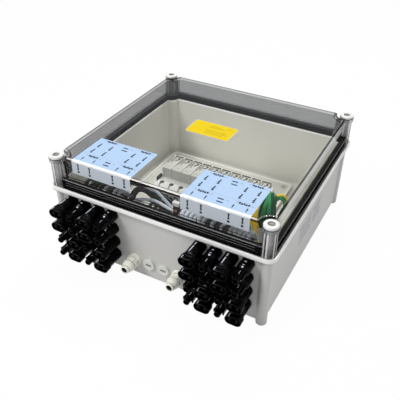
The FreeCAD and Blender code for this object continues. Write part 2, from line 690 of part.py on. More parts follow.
def build_plate():
    """Mounting plate with a raised border, held by four pan head screws."""
    width = "(" + PLATE_LEFT + " + " + PLATE_RIGHT + ")"
    depth = "(2 * " + PLATE_DEPTH + ")"
    at = ("-1 * " + PLATE_LEFT, "-1 * " + PLATE_DEPTH, PLATE_BOTTOM)
    slab = block("plate_slab", (width, depth, "plate_thickness + plate_lip_height"), at)
    slab = bevelled("plate_cornered", slab, "plate_corner",
                    lambda edge: edge.BoundBox.ZLength > size("plate_thickness"))
    tray = block("plate_tray", (width + " - 2 * plate_lip", depth + " - 2 * plate_lip", "plate_lip_height + 1"),
                 ("plate_lip - " + PLATE_LEFT, "plate_lip - " + PLATE_DEPTH, PLATE_TOP))
    tray = bevelled("plate_tray_cornered", tray, "tray_corner",
                    lambda edge: edge.BoundBox.ZLength > size("plate_lip_height"))
    holes = []
    screws = []
    for index, (x, y) in enumerate(boss_places()):
        holes.append(prism("plate_hole_%d" % index, 6, "plate_screw_radius + plate_hole_gap", "plate_thickness + 2",
                           (x, y, PLATE_BOTTOM + " - 1")))
        shank = prism("plate_shank_%d" % index, 6, "plate_screw_radius", "plate_screw_length + plate_thickness + 1",
                      (x, y, PLATE_BOTTOM + " - plate_screw_length"))
        head = prism("plate_head_%d" % index, 6, "plate_screw_head", "plate_screw_head_height", (x, y, PLATE_TOP))
        screws.append(fuse("plate_screw_%d" % index, [shank, head]))
    node(cut("plate", slab, [tray] + holes), "mounting_plate")
    compound = doc.addObject("Part::Compound", "plate_screws_group")
    compound.Links = screws
    node(compound, "plate_screws")


def profile_body(name, plane, outline, length):
    """A body padded from an outline whose points are tied to the sheet."""
    body = doc.addObject("PartDesign::Body", name)
    sketch = body.newObject("Sketcher::SketchObject", name + "_outline")
    origin_plane = [item for item in body.Origin.OriginFeatures if item.Role == plane][0]
    sketch.AttachmentSupport = [(origin_plane, "")]
    sketch.MapMode = "FlatFace"
    count = len(outline)
    rough = []
    for index in range(count):
        angle = 2 * math.pi * index / count
        rough.append(Vector(20 + 10 * math.cos(angle), 20 + 10 * math.sin(angle), 0))
    for index in range(count):
        sketch.addGeometry(Part.LineSegment(rough[index], rough[(index + 1) % count]), False)
    for index in range(count):
        sketch.addConstraint(Sketcher.Constraint("Coincident", index, 2, (index + 1) % count, 1))
    for index, (x, y) in enumerate(outline):
        for kind, axis, line, expression, number in (("DistanceX", "x", -2, x, rough[index].x),
                                                     ("DistanceY", "y", -1, y, rough[index].y)):
            if expression == "0":
                sketch.addConstraint(Sketcher.Constraint("PointOnObject", index, 1, line))
                continue
            place_of = sketch.addConstraint(Sketcher.Constraint(kind, -1, 1, index, 1, number))
            label = "%s%d" % (axis, index)
            sketch.renameConstraint(place_of, label)
            sketch.setExpression("Constraints." + label, linked(expression))
    pad = body.newObject("PartDesign::Pad", name + "_pad")
    pad.Profile = sketch
    pad.setExpression("Length", linked(length))
    body.Tip = pad
    sketch.Visibility = False
    return body


def build_rail():
    """Top hat rail, padded along X from its section."""
    width = "rail_width"
    crown_left = "(rail_width - rail_crown) / 2"
    crown_right = "(rail_width + rail_crown) / 2"
    outline = [("0", "rail_height - rail_sheet"), (crown_left + " - rail_sheet", "rail_height - rail_sheet"),
               (crown_left + " - rail_sheet", "0"), (crown_right + " + rail_sheet", "0"),
               (crown_right + " + rail_sheet", "rail_height - rail_sheet"), (width, "rail_height - rail_sheet"),
               (width, "rail_height"), (crown_right, "rail_height"), (crown_right, "rail_sheet"),
               (crown_left, "rail_sheet"), (crown_left, "rail_height"), ("0", "rail_height")]
    body = profile_body("rail", "YZ_Plane", outline, "2 * " + ROW_END + " + rail_stub_left + rail_stub_right")
    place(body, ("-1 * (" + ROW_END + " + rail_stub_left)", "rail_y - rail_width / 2", PLATE_TOP))
    node(body, "din_rail")
    screws = []
    ends = ("rail_screw_inset - rail_stub_left - " + ROW_END, ROW_END + " + rail_stub_right - rail_screw_inset")
    for index, x in enumerate(ends):
        screws.append(prism("rail_screw_%d" % index, 6, "plate_screw_head", "plate_screw_head_height",
                            (x, "rail_y", PLATE_TOP + " + rail_sheet")))
    compound = doc.addObject("Part::Compound", "rail_screws_group")
    compound.Links = screws
    node(compound, "rail_screws")


def module_start(index):
    """Low side of one module along X."""
    return "((%d - module_count / 2) * module_pitch + module_gap / 2)" % index


def build_modules():
    """Ten module bases that clip over the rail, and their ten plug-in cartridges."""
    width = "(module_pitch - module_gap)"
    bases = []
    for index in range(int(size("module_count"))):
        x = module_start(index)
        centre = "(" + x + " + " + width + " / 2)"
        bottom = PLATE_TOP + " + module_bottom_gap"
        body = block("module_body_%d" % index, (width, "module_front + module_back",
                                                "module_shoulder - module_bottom_gap"),
                     (x, "-1 * module_front", bottom))
        seat = block("module_seat_%d" % index, (width, "nose_depth + 2 * seat_gap", "module_shoulder - seat_height + 1"),
                     (x, "nose_front - seat_gap", PLATE_TOP + " + seat_height"))
        clip = block("module_clip_%d" % index,
                     (width, "rail_width + 2 * clip_gap", "rail_height - module_bottom_gap + clip_gap"),
                     (x, "rail_y - rail_width / 2 - clip_gap", bottom))
        tools = [seat, clip]
        for name, y, mouth_y in (("front", "terminal_inset - module_front", "-1 * module_front"),
                                 ("back", "module_back - back_terminal_inset", "module_back")):
            tools.append(prism("module_well_%s_%d" % (name, index), 6, "terminal_radius", "terminal_depth + 1",
                               (centre, y, PLATE_TOP + " + module_shoulder - terminal_depth")))
            tools.append(middle_block("module_mouth_%s_%d" % (name, index),
                                      ("terminal_mouth", "2 * mouth_depth", "terminal_mouth"),
                                      (centre, mouth_y, PLATE_TOP + " + seat_height + mouth_rise")))
        for side, shift in (("a", "-0.5 * blade_spacing"), ("b", "0.5 * blade_spacing")):
            tools.append(middle_block("module_jaw_%s_%d" % (side, index),
                                      ("blade_thickness + 2 * jaw_gap", "blade_width + 2 * jaw_gap", "blade_length + 2"),
                                      (centre, "nose_front + nose_depth / 2 + " + shift,
                                       PLATE_TOP + " + seat_height - blade_length - 1")))
        bases.append(cut("module_base_%d" % index, body, tools))
        build_cartridge(index, x, centre)
    compound = doc.addObject("Part::Compound", "module_bases_group")
    compound.Links = bases
    node(compound, "surge_bases")


def build_cartridge(index, x, centre):
    """One cartridge: a nose with two slots, a marker field and a bay, on two blades."""
    width = "(module_pitch - module_gap - 2 * cartridge_gap)"
    low = PLATE_TOP + " + seat_height + seat_gap"
    top = PLATE_TOP + " + nose_height"
    body = block("nose_body_%d" % index, (width, "nose_depth", "nose_height - seat_height - seat_gap"),
                 (x + " + cartridge_gap", "nose_front", low))
    blades = []
    for side, shift in (("a", "-0.5 * blade_spacing"), ("b", "0.5 * blade_spacing")):
        blades.append(middle_block("nose_blade_%s_%d" % (side, index),
                                   ("blade_thickness", "blade_width", "blade_length + 1"),
                                   (centre, "nose_front + nose_depth / 2 + " + shift, low + " - blade_length")))
    whole = fuse("nose_whole_%d" % index, [body] + blades)
    tools = []
    for side, shift in (("a", "-1 * slot_offset"), ("b", "slot_pitch - slot_offset")):
        tools.append(middle_block("nose_slot_%s_%d" % (side, index), ("slot_width", "slot_length", "slot_depth + 1"),
                                  (centre + " + " + shift,
                                   "nose_front + nose_depth - bay_inset - bay_depth - slot_inset - slot_length / 2",
                                   top + " - slot_depth")))
    tools.append(block("nose_bay_%d" % index, (width + " - 2 * bay_wall", "bay_depth", "bay_height + 1"),
                       (x + " + cartridge_gap + bay_wall", "nose_front + nose_depth - bay_depth - bay_inset",
                        top + " - bay_height")))
    name = "surge_cartridge_%02d" % (index + 1)
    node(cut("cartridge_%d" % index, whole, tools), name)


def build_strip():
    """Small terminal strip on the plate: one moulding with a mouth and a screw well for each way."""
    ways = "strip_ways"
    moulding = block("strip_moulding", ("%s * strip_pitch" % ways, "strip_depth", "strip_height"),
                     ("strip_x - strip_pitch / 2", "strip_y - strip_depth / 2", PLATE_TOP))
    tools = []
    jaws = []
    for index in range(int(size("strip_ways"))):
        x = "strip_x + %d * strip_pitch" % index
        floor = PLATE_TOP + " + strip_height - strip_mouth_drop"
        tools.append(middle_block("strip_mouth_%d" % index, ("strip_mouth_width", "2 * strip_mouth", "strip_mouth"),
                                  (x, "strip_y - strip_depth / 2", floor)))
        tools.append(prism("strip_well_%d" % index, 6, "strip_well", "strip_well_depth + 1",
                           (x, "strip_y + strip_well_shift", PLATE_TOP + " + strip_height - strip_well_depth")))
        jaws.append(middle_block("strip_jaw_%d" % index, ("strip_jaw", "strip_jaw_depth", "strip_jaw"),
                                 (x, "strip_y - strip_depth / 2 + strip_mouth - strip_jaw_depth / 2", floor)))
    node(cut("strip", moulding, tools), "terminal_strip")
    compound = doc.addObject("Part::Compound", "strip_jaws_group")
    compound.Links = jaws
    node(compound, "terminal_clamps")


def earth_post_places():
    """Two places along Y of the posts that carry the earth bar."""
    return ["earth_front + earth_post_width / 2", "earth_front + earth_length - earth_post_width / 2"]


def build_earth_bar():
    """Brass earth bar on two moulded posts, with a row of screws."""
    bottom = FLOOR_TOP + " + earth_post_height"
    bar = block("earth_bar_block", ("earth_width", "earth_length", "earth_thickness"),
                ("earth_x - earth_width / 2", "earth_front", bottom))
    node(bar, "earth_bar")
    screws = []
    for index in range(int(size("earth_screw_count"))):
        y = "earth_front + (%d + 0.5) * earth_length / earth_screw_count" % index
        screws.append(prism("earth_screw_%d" % index, 6, "earth_screw_radius", "earth_screw_height",
                            ("earth_x", y, bottom + " + earth_thickness")))
    compound = doc.addObject("Part::Compound", "earth_screws_group")
    compound.Links = screws
    node(compound, "earth_screws")


# Glands and plugs

def build_entries():
    """Two cable glands with cap nuts, two blanking plugs and their lock nuts."""
    bodies = []
    plugs = []
    nuts = []
    wall_face = "-1 * " + WALL_Y
    inner_face = "(wall_thickness - " + WALL_Y + ")"
    for name, x in entry_offsets().items():
        inner_end = (x, inner_face + " + thread_reach", "entry_z")
        thread_length = "thread_reach + wall_thickness + 1"
        thread = prism("entry_thread_" + name, 8, "entry_thread", thread_length, inner_end, TO_FRONT)
        nut = prism("entry_nut_" + name, 6, "entry_nut_radius", "entry_nut", (x, inner_face + " + entry_nut", "entry_z"),
                    TO_FRONT)
        gap = prism("entry_nut_gap_" + name, 8, "entry_thread + entry_clearance", "entry_nut + 2",
                    (x, inner_face + " + entry_nut + 1", "entry_z"), TO_FRONT)
        nuts.append(cut("entry_lock_nut_" + name, nut, [gap]))
        if name.startswith("gland"):
            hexagon = prism("gland_hexagon_" + name, 6, "gland_flange_radius", "gland_flange",
                            (x, wall_face, "entry_z"), TO_FRONT)
            neck = prism("gland_neck_" + name, 12, "gland_neck_radius", "gland_flange + gland_neck",
                         (x, wall_face, "entry_z"), TO_FRONT)
            whole = fuse("gland_whole_" + name, [thread, hexagon, neck])
            bore = prism("gland_bore_" + name, 8, "gland_bore",
                         "thread_reach + wall_thickness + gland_flange + gland_neck + 2",
                         (x, inner_face + " + thread_reach + 1", "entry_z"), TO_FRONT)
            bodies.append(cut("gland_body_" + name, whole, [bore]))
            build_cap_nut(name, x, wall_face)
        else:
            head = prism("plug_head_" + name, 12, "plug_radius", "plug_height", (x, wall_face, "entry_z"), TO_FRONT)
            whole = fuse("plug_whole_" + name, [thread, head])
            slot = block("plug_slot_" + name, ("plug_slot_length", "plug_slot_depth + 1", "plug_slot"),
                         (x + " - plug_slot_length / 2", wall_face + " - plug_height - 1", "entry_z - plug_slot / 2"))
            plugs.append(cut("plug_" + name, whole, [slot]))
    for label, pieces in (("gland_bodies", bodies), ("blanking_plugs", plugs), ("entry_lock_nuts", nuts)):
        compound = doc.addObject("Part::Compound", label + "_group")
        compound.Links = pieces
        node(compound, label)


def build_cap_nut(name, x, wall_face):
    """Domed cap nut that turns on the neck of its gland."""
    length = size("gland_cap_length")
    skirt = facing_prism(12, size("gland_cap_radius"), 0, length)
    dome = facing_taper(12, size("gland_cap_radius") - size("dome_step"), size("gland_tip_radius"), length,
                        length + size("gland_dome_length"))
    tip = facing_prism(12, size("gland_tip_radius"), length, length + size("gland_dome_length") + size("gland_tip_length"))
    room = facing_prism(12, size("gland_neck_radius") + size("cap_nut_gap"), -1, size("gland_neck") - size("gland_gap") + 1)
    bore = facing_prism(8, size("gland_bore"), -1, 2 * length)
    shape = skirt.fuse([dome, tip]).cut(room).cut(bore).removeSplitter()
    nut = solid("cap_nut_" + name, shape)
    place(nut, (x, wall_face + " - gland_flange - gland_gap", "entry_z"))
    node(nut, name.replace("gland", "gland_cap_nut"))


# Stickers

def build_labels():
    """Two string labels that fold over the lid edge, a yellow label and a side label."""
    front = "-1 * (" + HALF_Y + " + lid_outset)"
    for name, low_x in (("left", "-1 * label_near - label_width"), ("right", "label_near")):
        top = block("label_top_" + name, ("label_width", "label_top_depth + label_thickness", "label_thickness"),
                    (low_x, front + " - label_thickness", LID_TOP))
        fold = block("label_fold_" + name, ("label_width", "label_thickness", "label_fold + label_thickness"),
                     (low_x, front + " - label_thickness", LID_TOP + " - label_fold"))
        node(fuse("label_" + name, [top, fold]), "string_label_" + name)
    plaque = middle_block("plaque", ("plaque_width", "plaque_depth", "label_thickness"), ("plaque_x", "plaque_y", LID_TOP))
    node(bevelled("plaque_cornered", plaque, "plaque_corner", lambda edge: edge.BoundBox.ZLength > 0.1), "yellow_label")
    side = block("side_label_block", ("label_thickness", "side_label_length", "side_label_height"),
                 (WALL_X, "side_label_y - side_label_length / 2", "side_label_z - side_label_height / 2"))
    node(side, "side_label")


# Wire looms

def loom_path(points):
    """Straight runs joined by arcs, each as large as its two runs allow."""
    edges = []
    start = points[0]
    radii = []
    for before, corner, after in zip(points, points[1:], points[2:]):
        back = (before - corner).normalize()
        ahead = (after - corner).normalize()
        half_turn = (math.pi - back.getAngle(ahead)) / 2
        reach = 0.45 * min((before - corner).Length, (after - corner).Length)
        entry = corner + back * reach
        leave = corner + ahead * reach
        radius = reach / math.tan(half_turn)
        radii.append(round(radius, 1))
        bisector = (back + ahead).normalize()
        centre = corner + bisector * math.hypot(radius, reach)
        middle = centre - bisector * radius
        edges.append(Part.LineSegment(start, entry).toShape())
        edges.append(Part.Arc(entry, middle, leave).toShape())
        start = leave
    edges.append(Part.LineSegment(start, points[-1]).toShape())
    return Part.Wire(edges), radii


def turned_on(turn, direction, ahead):
    """A rotation carried on from one direction to the next with no twist."""
    axis = direction.cross(ahead)
    if axis.Length < 1e-6:
        return turn
    return Rotation(axis, math.degrees(direction.getAngle(ahead))).multiply(turn)


def loom(name, radius, points):
    """One loom of wires as a tube of flat faces through sections spaced along its route."""
    path, radii = loom_path(points)
    sides = int(size("loom_sides"))
    direction = (points[1] - points[0]).normalize()
    turn = Rotation(Vector(0, 0, 1), direction)
    sections = [loom_section(points[0], turn, radius, sides)]
    for index, edge in enumerate(path.OrderedEdges):
        steps = 1 if index % 2 == 0 else int(size("loom_steps"))
        for step in range(1, steps + 1):
            at = edge.FirstParameter + (edge.LastParameter - edge.FirstParameter) * step / steps
            ahead = edge.tangentAt(at)
            turn = turned_on(turn, direction, ahead)
            direction = ahead
            sections.append(loom_section(edge.valueAt(at), turn, radius, sides))
    faces = [flat_face(sections[0]), flat_face(sections[-1])]
    for near, far in zip(sections, sections[1:]):
        for index in range(sides):
            after = (index + 1) % sides
            faces.append(flat_face([near[index], near[after], far[after]]))
            faces.append(flat_face([near[index], far[after], far[index]]))
    tube = Part.Solid(Part.Shell(faces))
    area = flat_face(sections[0]).Area
    print(name, "radii", radii, "volume ratio", round(tube.Volume / (area * path.Length), 4))
    return tube


def loom_section(middle, turn, radius, sides):
    """Corners of a regular outline across a loom."""
    corners = []
    for index in range(sides):
        angle = 2 * math.pi * (index + 0.5) / sides
        corners.append(middle + turn.multVec(Vector(radius * math.cos(angle), radius * math.sin(angle), 0)))
    return corners


def build_looms():
    """String wires from both socket groups to the modules, and the earth wires."""
    inner_wall = -(size("screw_span_y") / 2 + size("wall_outset") - size("wall_thickness"))
    nut_face = inner_wall + size("socket_nut_height")
    top_row = size("socket_low_z") + (size("socket_rows") - 1) * size("socket_pitch_z")
    plate_top = size("foot_height") + size("floor_thickness") + size("boss_height") + size("plate_thickness")
    end_z = plate_top + size("loom_end_height")
    end_y = -size("module_front")
    tubes = []
    for side in (-1, 1):
        socket_x = side * (size("socket_group_x") - size("socket_pitch_x") / 2)
        end_x = side * size("loom_end_x")
        route = [Vector(socket_x, nut_face, top_row), Vector(socket_x, nut_face + size("loom_run"), top_row),
                 Vector(side * size("loom_peak_x"), -size("loom_peak_y"), size("loom_peak_z")),
                 Vector(end_x, end_y - size("loom_end_run"), end_z), Vector(end_x, end_y, end_z)]
        tubes.append(loom("string wires", size("loom_radius"), route))
    node(solid("string_wires", Part.makeCompound(tubes)), "string_wires")
    bar_top = size("foot_height") + size("floor_thickness") + size("earth_post_height") + size("earth_thickness")
    bar_x = size("earth_x")
    start_y = size("earth_front") + size("earth_loom_start")
    module_x = (size("module_count") / 2 - 0.5) * size("module_pitch")
    module_y = size("module_back")
    lean = size("earth_loom_lean")
    module_z = plate_top + size("earth_loom_end")
    route = [Vector(bar_x, start_y, bar_top + size("earth_screw_height")),
             Vector(bar_x - lean / 6, start_y + size("earth_loom_step"), bar_top + size("earth_loom_rise")),
             Vector(bar_x - lean * 2 / 3, start_y + size("earth_loom_reach"), bar_top + size("earth_loom_peak")),
             Vector(bar_x - lean, module_y + size("earth_loom_back"), module_z + 8),
             Vector(module_x, module_y + size("earth_loom_run"), module_z), Vector(module_x, module_y, module_z)]
    node(solid("earth_wires", loom("earth wires", size("earth_loom_radius"), route)), "earth_wires")


def finish():
    """Check every object, then write each sub-part to its file."""
    doc.recompute()
    faults = [item.Name for item in doc.Objects if {"Invalid", "Error"} & set(item.State)]
    if faults:
        raise RuntimeError("objects in error: " + ", ".join(faults))
    os.makedirs("parts", exist_ok=True)
    for item, name in NODES:
        shape = item.Shape
        if shape.isNull() or not shape.isValid() or not shape.Solids:
            raise RuntimeError("no valid solid in " + name)
        shape.exportStep(os.path.join("parts", name + ".step"))
    print(len(NODES), "sub-parts written")


build_base()
build_lid()
build_seal()
build_lid_screws()
build_plate()
build_rail()
build_modules()
build_strip()
build_earth_bar()
build_sockets()
build_entries()
build_labels()
build_looms()
finish()
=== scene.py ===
"""Dresses the solar combiner box: clear lid, moulded base, sockets, surge modules, wires and labels."""

import math

import bpy
import numpy as np
from bpy.props import FloatProperty, FloatVectorProperty, IntProperty, PointerProperty
from mathutils import Matrix, Vector


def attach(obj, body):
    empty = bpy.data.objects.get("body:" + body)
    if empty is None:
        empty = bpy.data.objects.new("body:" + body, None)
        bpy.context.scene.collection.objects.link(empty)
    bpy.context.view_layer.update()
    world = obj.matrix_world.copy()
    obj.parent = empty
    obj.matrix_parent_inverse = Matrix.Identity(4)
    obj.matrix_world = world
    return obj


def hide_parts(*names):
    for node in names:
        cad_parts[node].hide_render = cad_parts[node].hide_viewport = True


bl_info = {
    "name": "Combiner box looks",
    "version": (1, 0, 0),
    "blender": (4, 5, 0),
    "location": "View3D > Sidebar > Box",
    "description": "Builds the visible surfaces of a solar combiner box round its solids",
    "category": "Object",
}

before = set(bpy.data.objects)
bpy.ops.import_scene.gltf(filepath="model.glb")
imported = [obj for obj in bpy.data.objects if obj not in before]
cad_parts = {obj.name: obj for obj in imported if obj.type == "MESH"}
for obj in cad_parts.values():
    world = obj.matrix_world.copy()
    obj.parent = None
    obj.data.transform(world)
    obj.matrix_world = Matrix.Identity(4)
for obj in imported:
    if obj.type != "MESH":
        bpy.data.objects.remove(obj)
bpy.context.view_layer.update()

# Places and sizes in millimetres that more than one piece needs

MM = 0.001
SPAN_X = 165.0
SPAN_Y = 162.0
SCREW_AXES = {
    "front_left": (-SPAN_X, -SPAN_Y),
    "front_right": (SPAN_X, -SPAN_Y),
    "back_left": (-SPAN_X, SPAN_Y),
    "back_right": (SPAN_X, SPAN_Y),
}
FRONT_FACE = -166.0
NUT_SEAT = -161.5
ENTRY_HEIGHT = 32.5
SOCKET_GROUP_X = 106.0
SOCKET_PITCH = 23.3
SOCKET_ROW_PITCH = 24.0
LOWEST_SOCKET = 31.7
MODULES = 10
MODULE_PITCH = 18
TOWER_TOP = 66.5
CARTRIDGE_TOP = 85.0
RIM_TOP = 125
LID_TOP = 172.0
LABEL_TOP = LID_TOP + 0.35
LABEL_FRONT = -(SPAN_Y + 1.3)
LABEL_WIDTH = 98.5
PRINT_DEPTH = 0.05
EARTH_BAR_X = 122
EARTH_BAR_TOP = 33
PLATE_LEFT = -152
PLATE_RIGHT = 94
PLATE_HALF_DEPTH = 148
PLATE_SCREW_INSET = 13


# Sizes and colours that a user would change

def colour(name, text, default):
    """A colour in the sidebar."""
    return FloatVectorProperty(name=name, description=text, default=default,
                               size=3, subtype="COLOR", min=0, max=1)


def length(name, text, default):
    """A length in the sidebar, from its default in millimetres."""
    return FloatProperty(name=name, description=text, default=default * MM,
                         min=0.0, precision=4, unit="LENGTH")


class BoxColours(bpy.types.PropertyGroup):
    """Colours of the mouldings, metal and prints."""
    base: colour("Base", "Moulded base", (0.60, 0.595, 0.575))
    # The inside colour is the base moulding painted lighter: painted light inside the box.
    inside: colour("Inside", "Moulded base inside", (0.72, 0.715, 0.655))
    # The rim colour paints a highlight on the bead and lip of the base moulding.
    rim: colour("Rim", "Crest of the base rim", (0.93, 0.93, 0.91))
    plate: colour("Plate", "Mounting plate", (0.74, 0.74, 0.67))
    # The border colour is the plate painted lighter: a painted highlight on its raised border.
    border: colour("Plate border highlight", "Raised border of the plate", (0.90, 0.89, 0.82))
    seal: colour("Seal", "Lid seal", (0.008, 0.008, 0.009))
    screw: colour("Lid screws", "White lid screws", (0.80, 0.80, 0.78))
    socket: colour("Sockets", "Panel sockets", (0.0012, 0.0012, 0.0018))
    gland: colour("Glands", "Cable glands", (0.97, 0.965, 0.85))
    plug: colour("Plugs", "Blanking plugs", (0.72, 0.73, 0.68))
    module: colour("Module bases", "Surge module bases", (0.84, 0.85, 0.80))
    cartridge: colour("Cartridges", "Sides of the surge cartridges", (0.52, 0.52, 0.48))
    cartridge_top: colour("Cartridge tops", "Tops of the surge cartridges", (0.56, 0.56, 0.50))
    cable: colour("Dark string cables", "Dark grey string cables", (0.045, 0.050, 0.060))
    pale_cable: colour("Pale string cables", "Pale grey string cables", (0.60, 0.65, 0.70))
    label: colour("String labels", "Top of the string labels", (0.415, 0.57, 0.79))
    label_fold: colour("String label folds", "Folded front of the string labels", (0.52, 0.565, 0.615))
    yellow: colour("Yellow label", "Film of the yellow label", (0.75, 0.55, 0.0))


class BoxSizes(bpy.types.PropertyGroup):
    """Sizes of the visible details."""
    bead: length("Bead", "Rounding of the rim bead", 1.3)
    column_blend: length("Column blend", "Radius of the blend between a corner column and the wall", 4.0)
    cable_radius: length("Cable radius", "Radius of a string cable", 2.6)
    seal_ribs: IntProperty(name="Seal ribs", description="Ribs along the seal", default=4, min=1, max=8)


# Mesh building

def put(name, data):
    """A new object in the scene, at the origin."""
    made = bpy.data.objects.new(name, data)
    bpy.context.scene.collection.objects.link(made)
    return made


def new_piece(name, points, faces, slots, materials):
    """A smooth mesh object from points in metres, with a material slot for each face."""
    mesh = bpy.data.meshes.new(name)
    mesh.from_pydata(points.tolist(), [], faces)
    mesh.polygons.foreach_set("material_index", slots)
    for material in materials:
        mesh.materials.append(material)
    mesh.shade_smooth()
    return put(name, mesh)


class Shell:
    """Collects grids of points into one mesh, with a material slot for each face."""

    def __init__(self):
        self.points = []
        self.faces = []
        self.slots = []
        self.count = 0

    def add(self, points, faces, slot=0):
        """Adds points in millimetres and the faces over them, with one slot or one for each face."""
        points = np.asarray(points, float).reshape(-1, 3)
        self.points.append(points)
        self.faces.extend([tuple(int(i) + self.count for i in face) for face in faces])
        self.slots.extend(np.broadcast_to(slot, len(faces)).tolist())
        self.count += len(points)

    def grid(self, rings, slot=0, cap_first=False, cap_last=False, cap_slot=None):
        """Closed rings of equal length joined in order; a cap is one flat face over an end ring.

        The slot is one number, one for each face round a ring, or a table with a row for each pair."""
        rings = np.asarray(rings, float)
        rows, columns = rings.shape[:2]
        here = np.arange(rows * columns).reshape(rows, columns)
        after = np.roll(here, -1, axis=1)
        quads = np.stack([here[:-1], after[:-1], after[1:], here[1:]], axis=-1).reshape(-1, 4)
        faces = [tuple(quad) for quad in quads.tolist()]
        slots = np.broadcast_to(slot, (rows - 1, columns)).reshape(-1).tolist()
        cap_slot = slots[0] if cap_slot is None else cap_slot
        if cap_first:
            faces.append(tuple(here[0][::-1].tolist()))
            slots.append(cap_slot)
        if cap_last:
            faces.append(tuple(here[-1].tolist()))
            slots.append(cap_slot)
        self.add(rings, faces, slots)

    def block(self, low, high, slot=0):
        """A plain block between two corners."""
        x0, y0, z0 = low
        x1, y1, z1 = high
        points = [(x0, y0, z0), (x1, y0, z0), (x1, y1, z0), (x0, y1, z0),
                  (x0, y0, z1), (x1, y0, z1), (x1, y1, z1), (x0, y1, z1)]
        faces = [(0, 3, 2, 1), (4, 5, 6, 7), (0, 1, 5, 4), (1, 2, 6, 5), (2, 3, 7, 6), (3, 0, 4, 7)]
        self.add(points, faces, slot)

    def build(self, name, finishes, sharp=35.0, bevel=0.0):
        """One mesh object in metres, smooth but for edges sharper than the angle, with the named finishes."""
        points = np.concatenate(self.points) * MM
        materials = [MATERIALS[finish_name] for finish_name in finishes]
        piece = new_piece(name, points, self.faces, self.slots, materials)
        piece.data.set_sharp_from_angle(angle=math.radians(sharp))
        piece.data.update()
        if bevel:
            modifier = piece.modifiers.new("edge", "BEVEL")
            modifier.width = bevel * MM
            modifier.segments = 2
            modifier.limit_method = "ANGLE"
            modifier.angle_limit = math.radians(40)
        return piece


def by_row(slots):
    """A slot for each pair of rings, the same all the way round."""
    return np.array(slots)[:, None]


def arc(centre, radius, start, end, count):
    """Points on a circle from one angle to another, in degrees."""
    angle = np.radians(np.linspace(start, end, count))
    return np.stack([centre[0] + radius * np.cos(angle), centre[1] + radius * np.sin(angle)], axis=-1)


def level(flat, height):
    """Flat points raised to a height."""
    return np.column_stack([flat, np.full(len(flat), height)])


# Rings round the box

CORNER_RUN = 26.0
CURVE_POINTS = 40
HALF_POINTS = 26
STRAIGHT_POINTS = 6
FLAT_STEPS = 8


def resampled(line, count):
    """Points spread evenly by length along a line of points."""
    steps = np.r_[0, np.cumsum(np.linalg.norm(np.diff(line, axis=0), axis=1))]
    wanted = np.linspace(0, steps[-1], count)
    return np.stack([np.interp(wanted, steps, line[:, axis]) for axis in (0, 1)], axis=-1)


def half_corner(reach, *curves):
    """Half a corner about a screw axis: a point on the straight wall, then curves up to the diagonal."""
    return np.concatenate([[[reach, -CORNER_RUN]], *curves])


def round_half(reach):
    """Half a corner that is a plain round: an eighth of a circle about the screw axis."""
    return half_corner(reach, arc((0, 0), reach, 0, 45, CURVE_POINTS))


def column_half(reach, radius, blend):
    """Half a corner where a round column stands out of the wall with a hollow blend on each side."""
    along = math.sqrt((radius + blend) ** 2 - (reach + blend) ** 2)
    turn = math.degrees(math.atan2(along, reach + blend))
    hollow = arc((reach + blend, -along), blend, 180, 180 - turn, 16)
    return half_corner(reach, hollow, arc((0, 0), radius, -turn, 45, CURVE_POINTS))


def notch_half(reach, radius, blend):
    """Half a corner with a round bay cut in about the screw axis and a rounded edge beside it."""
    along = math.sqrt((radius + blend) ** 2 - (reach - blend) ** 2)
    turn = math.degrees(math.atan2(along, blend - reach))
    edge = arc((reach - blend, -along), blend, 0, turn, 12)
    start = math.degrees(math.atan2(-along, reach - blend))
    return half_corner(reach, edge, arc((0, 0), radius, start, -135, CURVE_POINTS))


def outline(half, height):
    """A closed ring round the box: the half corner, mirrored over the diagonal, turned to all four."""
    first = resampled(half, HALF_POINTS)
    corner = np.concatenate([first, first[::-1, ::-1][1:]])
    corners = []
    for turn, side in ((0, (1, 1)), (90, (-1, 1)), (180, (-1, -1)), (270, (1, -1))):
        angle = math.radians(turn)
        spin = np.array([[math.cos(angle), math.sin(angle)], [-math.sin(angle), math.cos(angle)]])
        corners.append(corner @ spin + np.array([side[0] * SPAN_X, side[1] * SPAN_Y]))
    joined_up = []
    for index, here in enumerate(corners):
        after = corners[(index + 1) % 4][0]
        joined_up.append(here)
        joined_up.append(np.linspace(here[-1], after, STRAIGHT_POINTS + 2)[1:-1])
    return level(np.concatenate(joined_up), height)


def outlines(profile):
    """Rings round the box from pairs of half corner and height."""
    return [outline(half, height) for half, height in profile]


def wall_slots(right, back, left, front, bays):
    """Slot of each face round a ring: the wall's own along the walls, and the bay's in each corner."""
    walls = (right, back, left, front)
    bend = 2 * HALF_POINTS - 2 - 2 * FLAT_STEPS
    row = []
    for index, wall in enumerate(walls):
        row += [wall] * FLAT_STEPS
        row += [bays[index]] * bend
        row += [walls[(index + 1) % 4]] * (FLAT_STEPS + STRAIGHT_POINTS + 1)
    return row


# Turned shapes

def turned(profile, centre, axis="z", sides=48, flute=None):
    """Rings of a lathe profile of radius and height about an axis through the centre.

    A flute takes the angles and the height of a ring and gives a factor for its radius."""
    angle = np.linspace(0, 2 * np.pi, sides, endpoint=False)
    rings = []
    for radius, height in profile:
        reach = radius * (flute(angle, height) if flute else 1.0)
        x = reach * np.cos(angle)
        y = reach * np.sin(angle)
        raised = np.full(sides, float(height))
        if axis == "z":
            ring = np.column_stack([x, y, raised])
        else:
            ring = np.column_stack([x, -raised, y])
        rings.append(ring + np.asarray(centre, float))
    return np.array(rings)


def turned_out(profile, place, sides=48, flute=None):
    """Rings of a lathe profile that stands out of the front wall: radius, and distance from the place."""
    return turned(profile, place, axis="y", sides=sides, flute=flute)[:, ::-1]


# Materials

MATERIALS = {}
GRAIN_DEPTH = 0.0002
GLOSS_SPREAD = 0.07


def set_inputs(tree, node, inputs):
    """Gives each named input of a node its value, or a link where the value is another node's output."""
    for name, value in inputs.items():
        if isinstance(value, bpy.types.NodeSocket):
            tree.links.new(value, node.inputs[name])
        else:
            node.inputs[name].default_value = value


